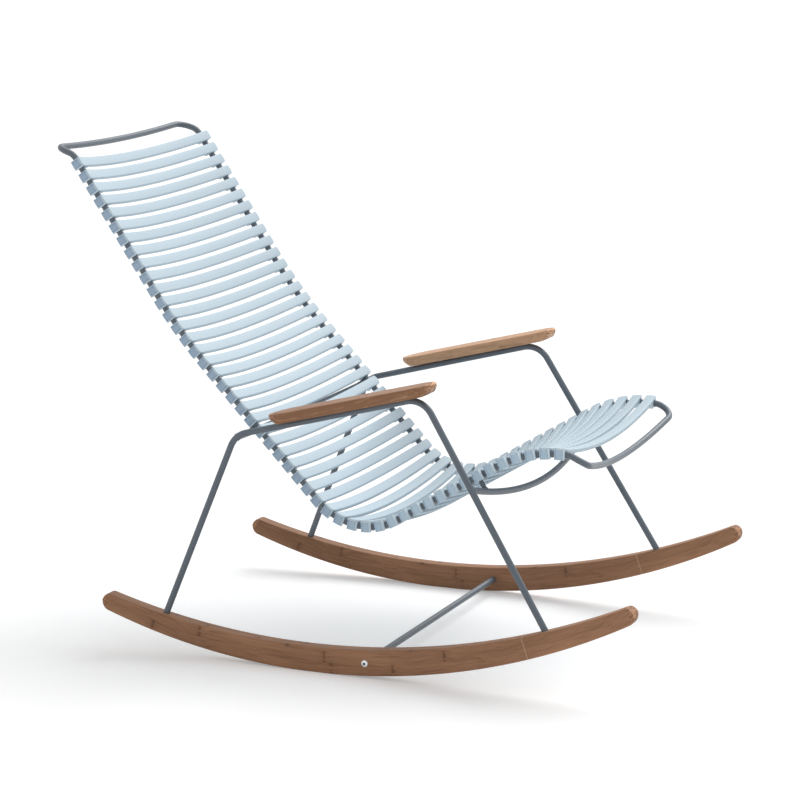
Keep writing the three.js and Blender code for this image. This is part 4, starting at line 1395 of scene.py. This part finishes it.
class CHAIR_OT_bolts(ChairOperator, bpy.types.Operator):
    """Builds the button-head bolts that hold the rocker bar"""

    bl_idname = "chair.bolts"
    bl_label = "Bolts"

    def build(self, scene, layout):
        steel = bolt_steel(scene.chair_finishes)
        shells, marks = bolt_shell(layout)
        add_pair("button_bolt", shells, steel, "rocker_bolt", marks=(marks, marks))


def soft_lamp(name, comes_from, strength, spread):
    """An even, far light from one side, wide enough that its shadows are soft."""
    lamp = bpy.data.lights.new(name, "SUN")
    lamp.energy, lamp.angle = strength, spread
    holder = bpy.data.objects.new(name, lamp)
    bpy.context.scene.collection.objects.link(holder)
    backward = unit(comes_from)
    right = unit(np.cross([0, 1, 0], backward))
    turn = np.stack([right, np.cross(backward, right), backward], axis=-1)
    holder.matrix_world = Matrix(turn.tolist()).to_4x4()


class CHAIR_OT_stage(bpy.types.Operator):
    """Sets the camera, a plain pale floor and soft light"""

    bl_idname = "chair.stage"
    bl_label = "Stage"

    def execute(self, context):
        scene, stage = context.scene, context.scene.chair_stage
        scene.view_settings.view_transform = "Standard"
        self.add_camera(scene, stage)
        self.add_floor(scene, stage)
        self.add_light(scene, stage)
        return {"FINISHED"}

    def add_camera(self, scene, stage):
        """The scene's camera, level from side to side."""
        camera = bpy.data.objects.new("camera", bpy.data.cameras.new("camera"))
        scene.collection.objects.link(camera)
        camera.data.sensor_width, camera.data.lens = 36, stage.focal_length
        flat = np.array([math.cos(stage.camera_heading), math.sin(stage.camera_heading), 0])
        forward = math.cos(stage.camera_dip) * flat - [0, 0, math.sin(stage.camera_dip)]
        right = unit(np.cross(forward, [0, 0, 1]))
        turn = np.stack([right, np.cross(right, forward), -forward], axis=-1)
        camera.matrix_world = Matrix.Translation(stage.camera_place) @ Matrix(turn.tolist()).to_4x4()
        scene.camera = camera

    def add_floor(self, scene, stage):
        """A wide floor that takes soft shadows and is otherwise as white as the sky."""
        reach = stage.floor_reach
        corners = np.array([[-1, -1], [1, -1], [1, 1], [-1, 1]]) * reach
        mesh = bpy.data.meshes.new("floor")
        mesh.from_pydata(np.column_stack([corners, np.full(4, -stage.floor_drop)]), [], [[0, 1, 2, 3]])
        pale = Finish("pale_floor")
        plain = pale.node("ShaderNodeBsdfDiffuse", {"Color": shade_of(stage.floor_colour)})
        glow = pale.node("ShaderNodeEmission", {"Color": WHITE, "Strength": stage.floor_glow})
        lit = pale.node("ShaderNodeAddShader", {0: plain, 1: glow})
        mixed = pale.node("ShaderNodeMixShader", {0: pale.background_rays(), 1: plain, 2: lit})
        pale.node("ShaderNodeOutputMaterial", {"Surface": mixed})
        mesh.materials.append(pale.material)
        floor = bpy.data.objects.new("floor", mesh)
        scene.collection.objects.link(floor)

    def add_light(self, scene, stage):
        """Even light all round and a soft light from one side."""
        world = bpy.data.worlds.new("studio")
        scene.world = world
        sky = Nodes(world)
        # White behind the chair, and only as strong on it as the stage says
        levels = {"Value": sky.background_rays(), "To Min": stage.sky, "To Max": 1.0}
        strength = sky.node("ShaderNodeMapRange", levels)
        glow = sky.node("ShaderNodeBackground", {"Color": WHITE, "Strength": strength})
        sky.node("ShaderNodeOutputWorld", {"Surface": glow})
        soft_lamp("key", stage.key_from, stage.key, stage.key_spread)


class CHAIR_PT_panel(bpy.types.Panel):
    """Lists the chair's sizes, colours and pieces in the sidebar"""

    bl_idname = "CHAIR_PT_panel"
    bl_label = "Slatted Rocking Chair"
    bl_space_type = "VIEW_3D"
    bl_region_type = "UI"
    bl_category = "Rocking Chair"

    def draw(self, context):
        layout = self.layout
        for operator in OPERATORS:
            layout.operator(operator.bl_idname)
        for group, kind in GROUPS.items():
            box = layout.box()
            box.label(text=kind.__doc__.split(".")[0])
            for name in kind.__annotations__:
                box.prop(getattr(context.scene, group), name)


OPERATORS = [
    CHAIR_OT_tubes,
    CHAIR_OT_slats,
    CHAIR_OT_rockers,
    CHAIR_OT_armrests,
    CHAIR_OT_bolts,
    CHAIR_OT_stage,
]


def register():
    """Adds the settings, the operators and the panel."""
    for kind in [*GROUPS.values(), *OPERATORS, CHAIR_PT_panel]:
        bpy.utils.register_class(kind)
    for group, kind in GROUPS.items():
        setattr(bpy.types.Scene, group, bpy.props.PointerProperty(type=kind))


def unregister():
    """Takes them away again."""
    for group in GROUPS:
        delattr(bpy.types.Scene, group)
    for kind in [CHAIR_PT_panel, *reversed(OPERATORS), *reversed(GROUPS.values())]:
        bpy.utils.unregister_class(kind)


def main():
    """Registers the chair's classes, then runs every operator in turn: the pieces and the stage."""
    register()
    for operator in OPERATORS:
        group, name = operator.bl_idname.split(".")
        getattr(getattr(bpy.ops, group), name)()
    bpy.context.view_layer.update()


if __name__ == "__main__":
    main()
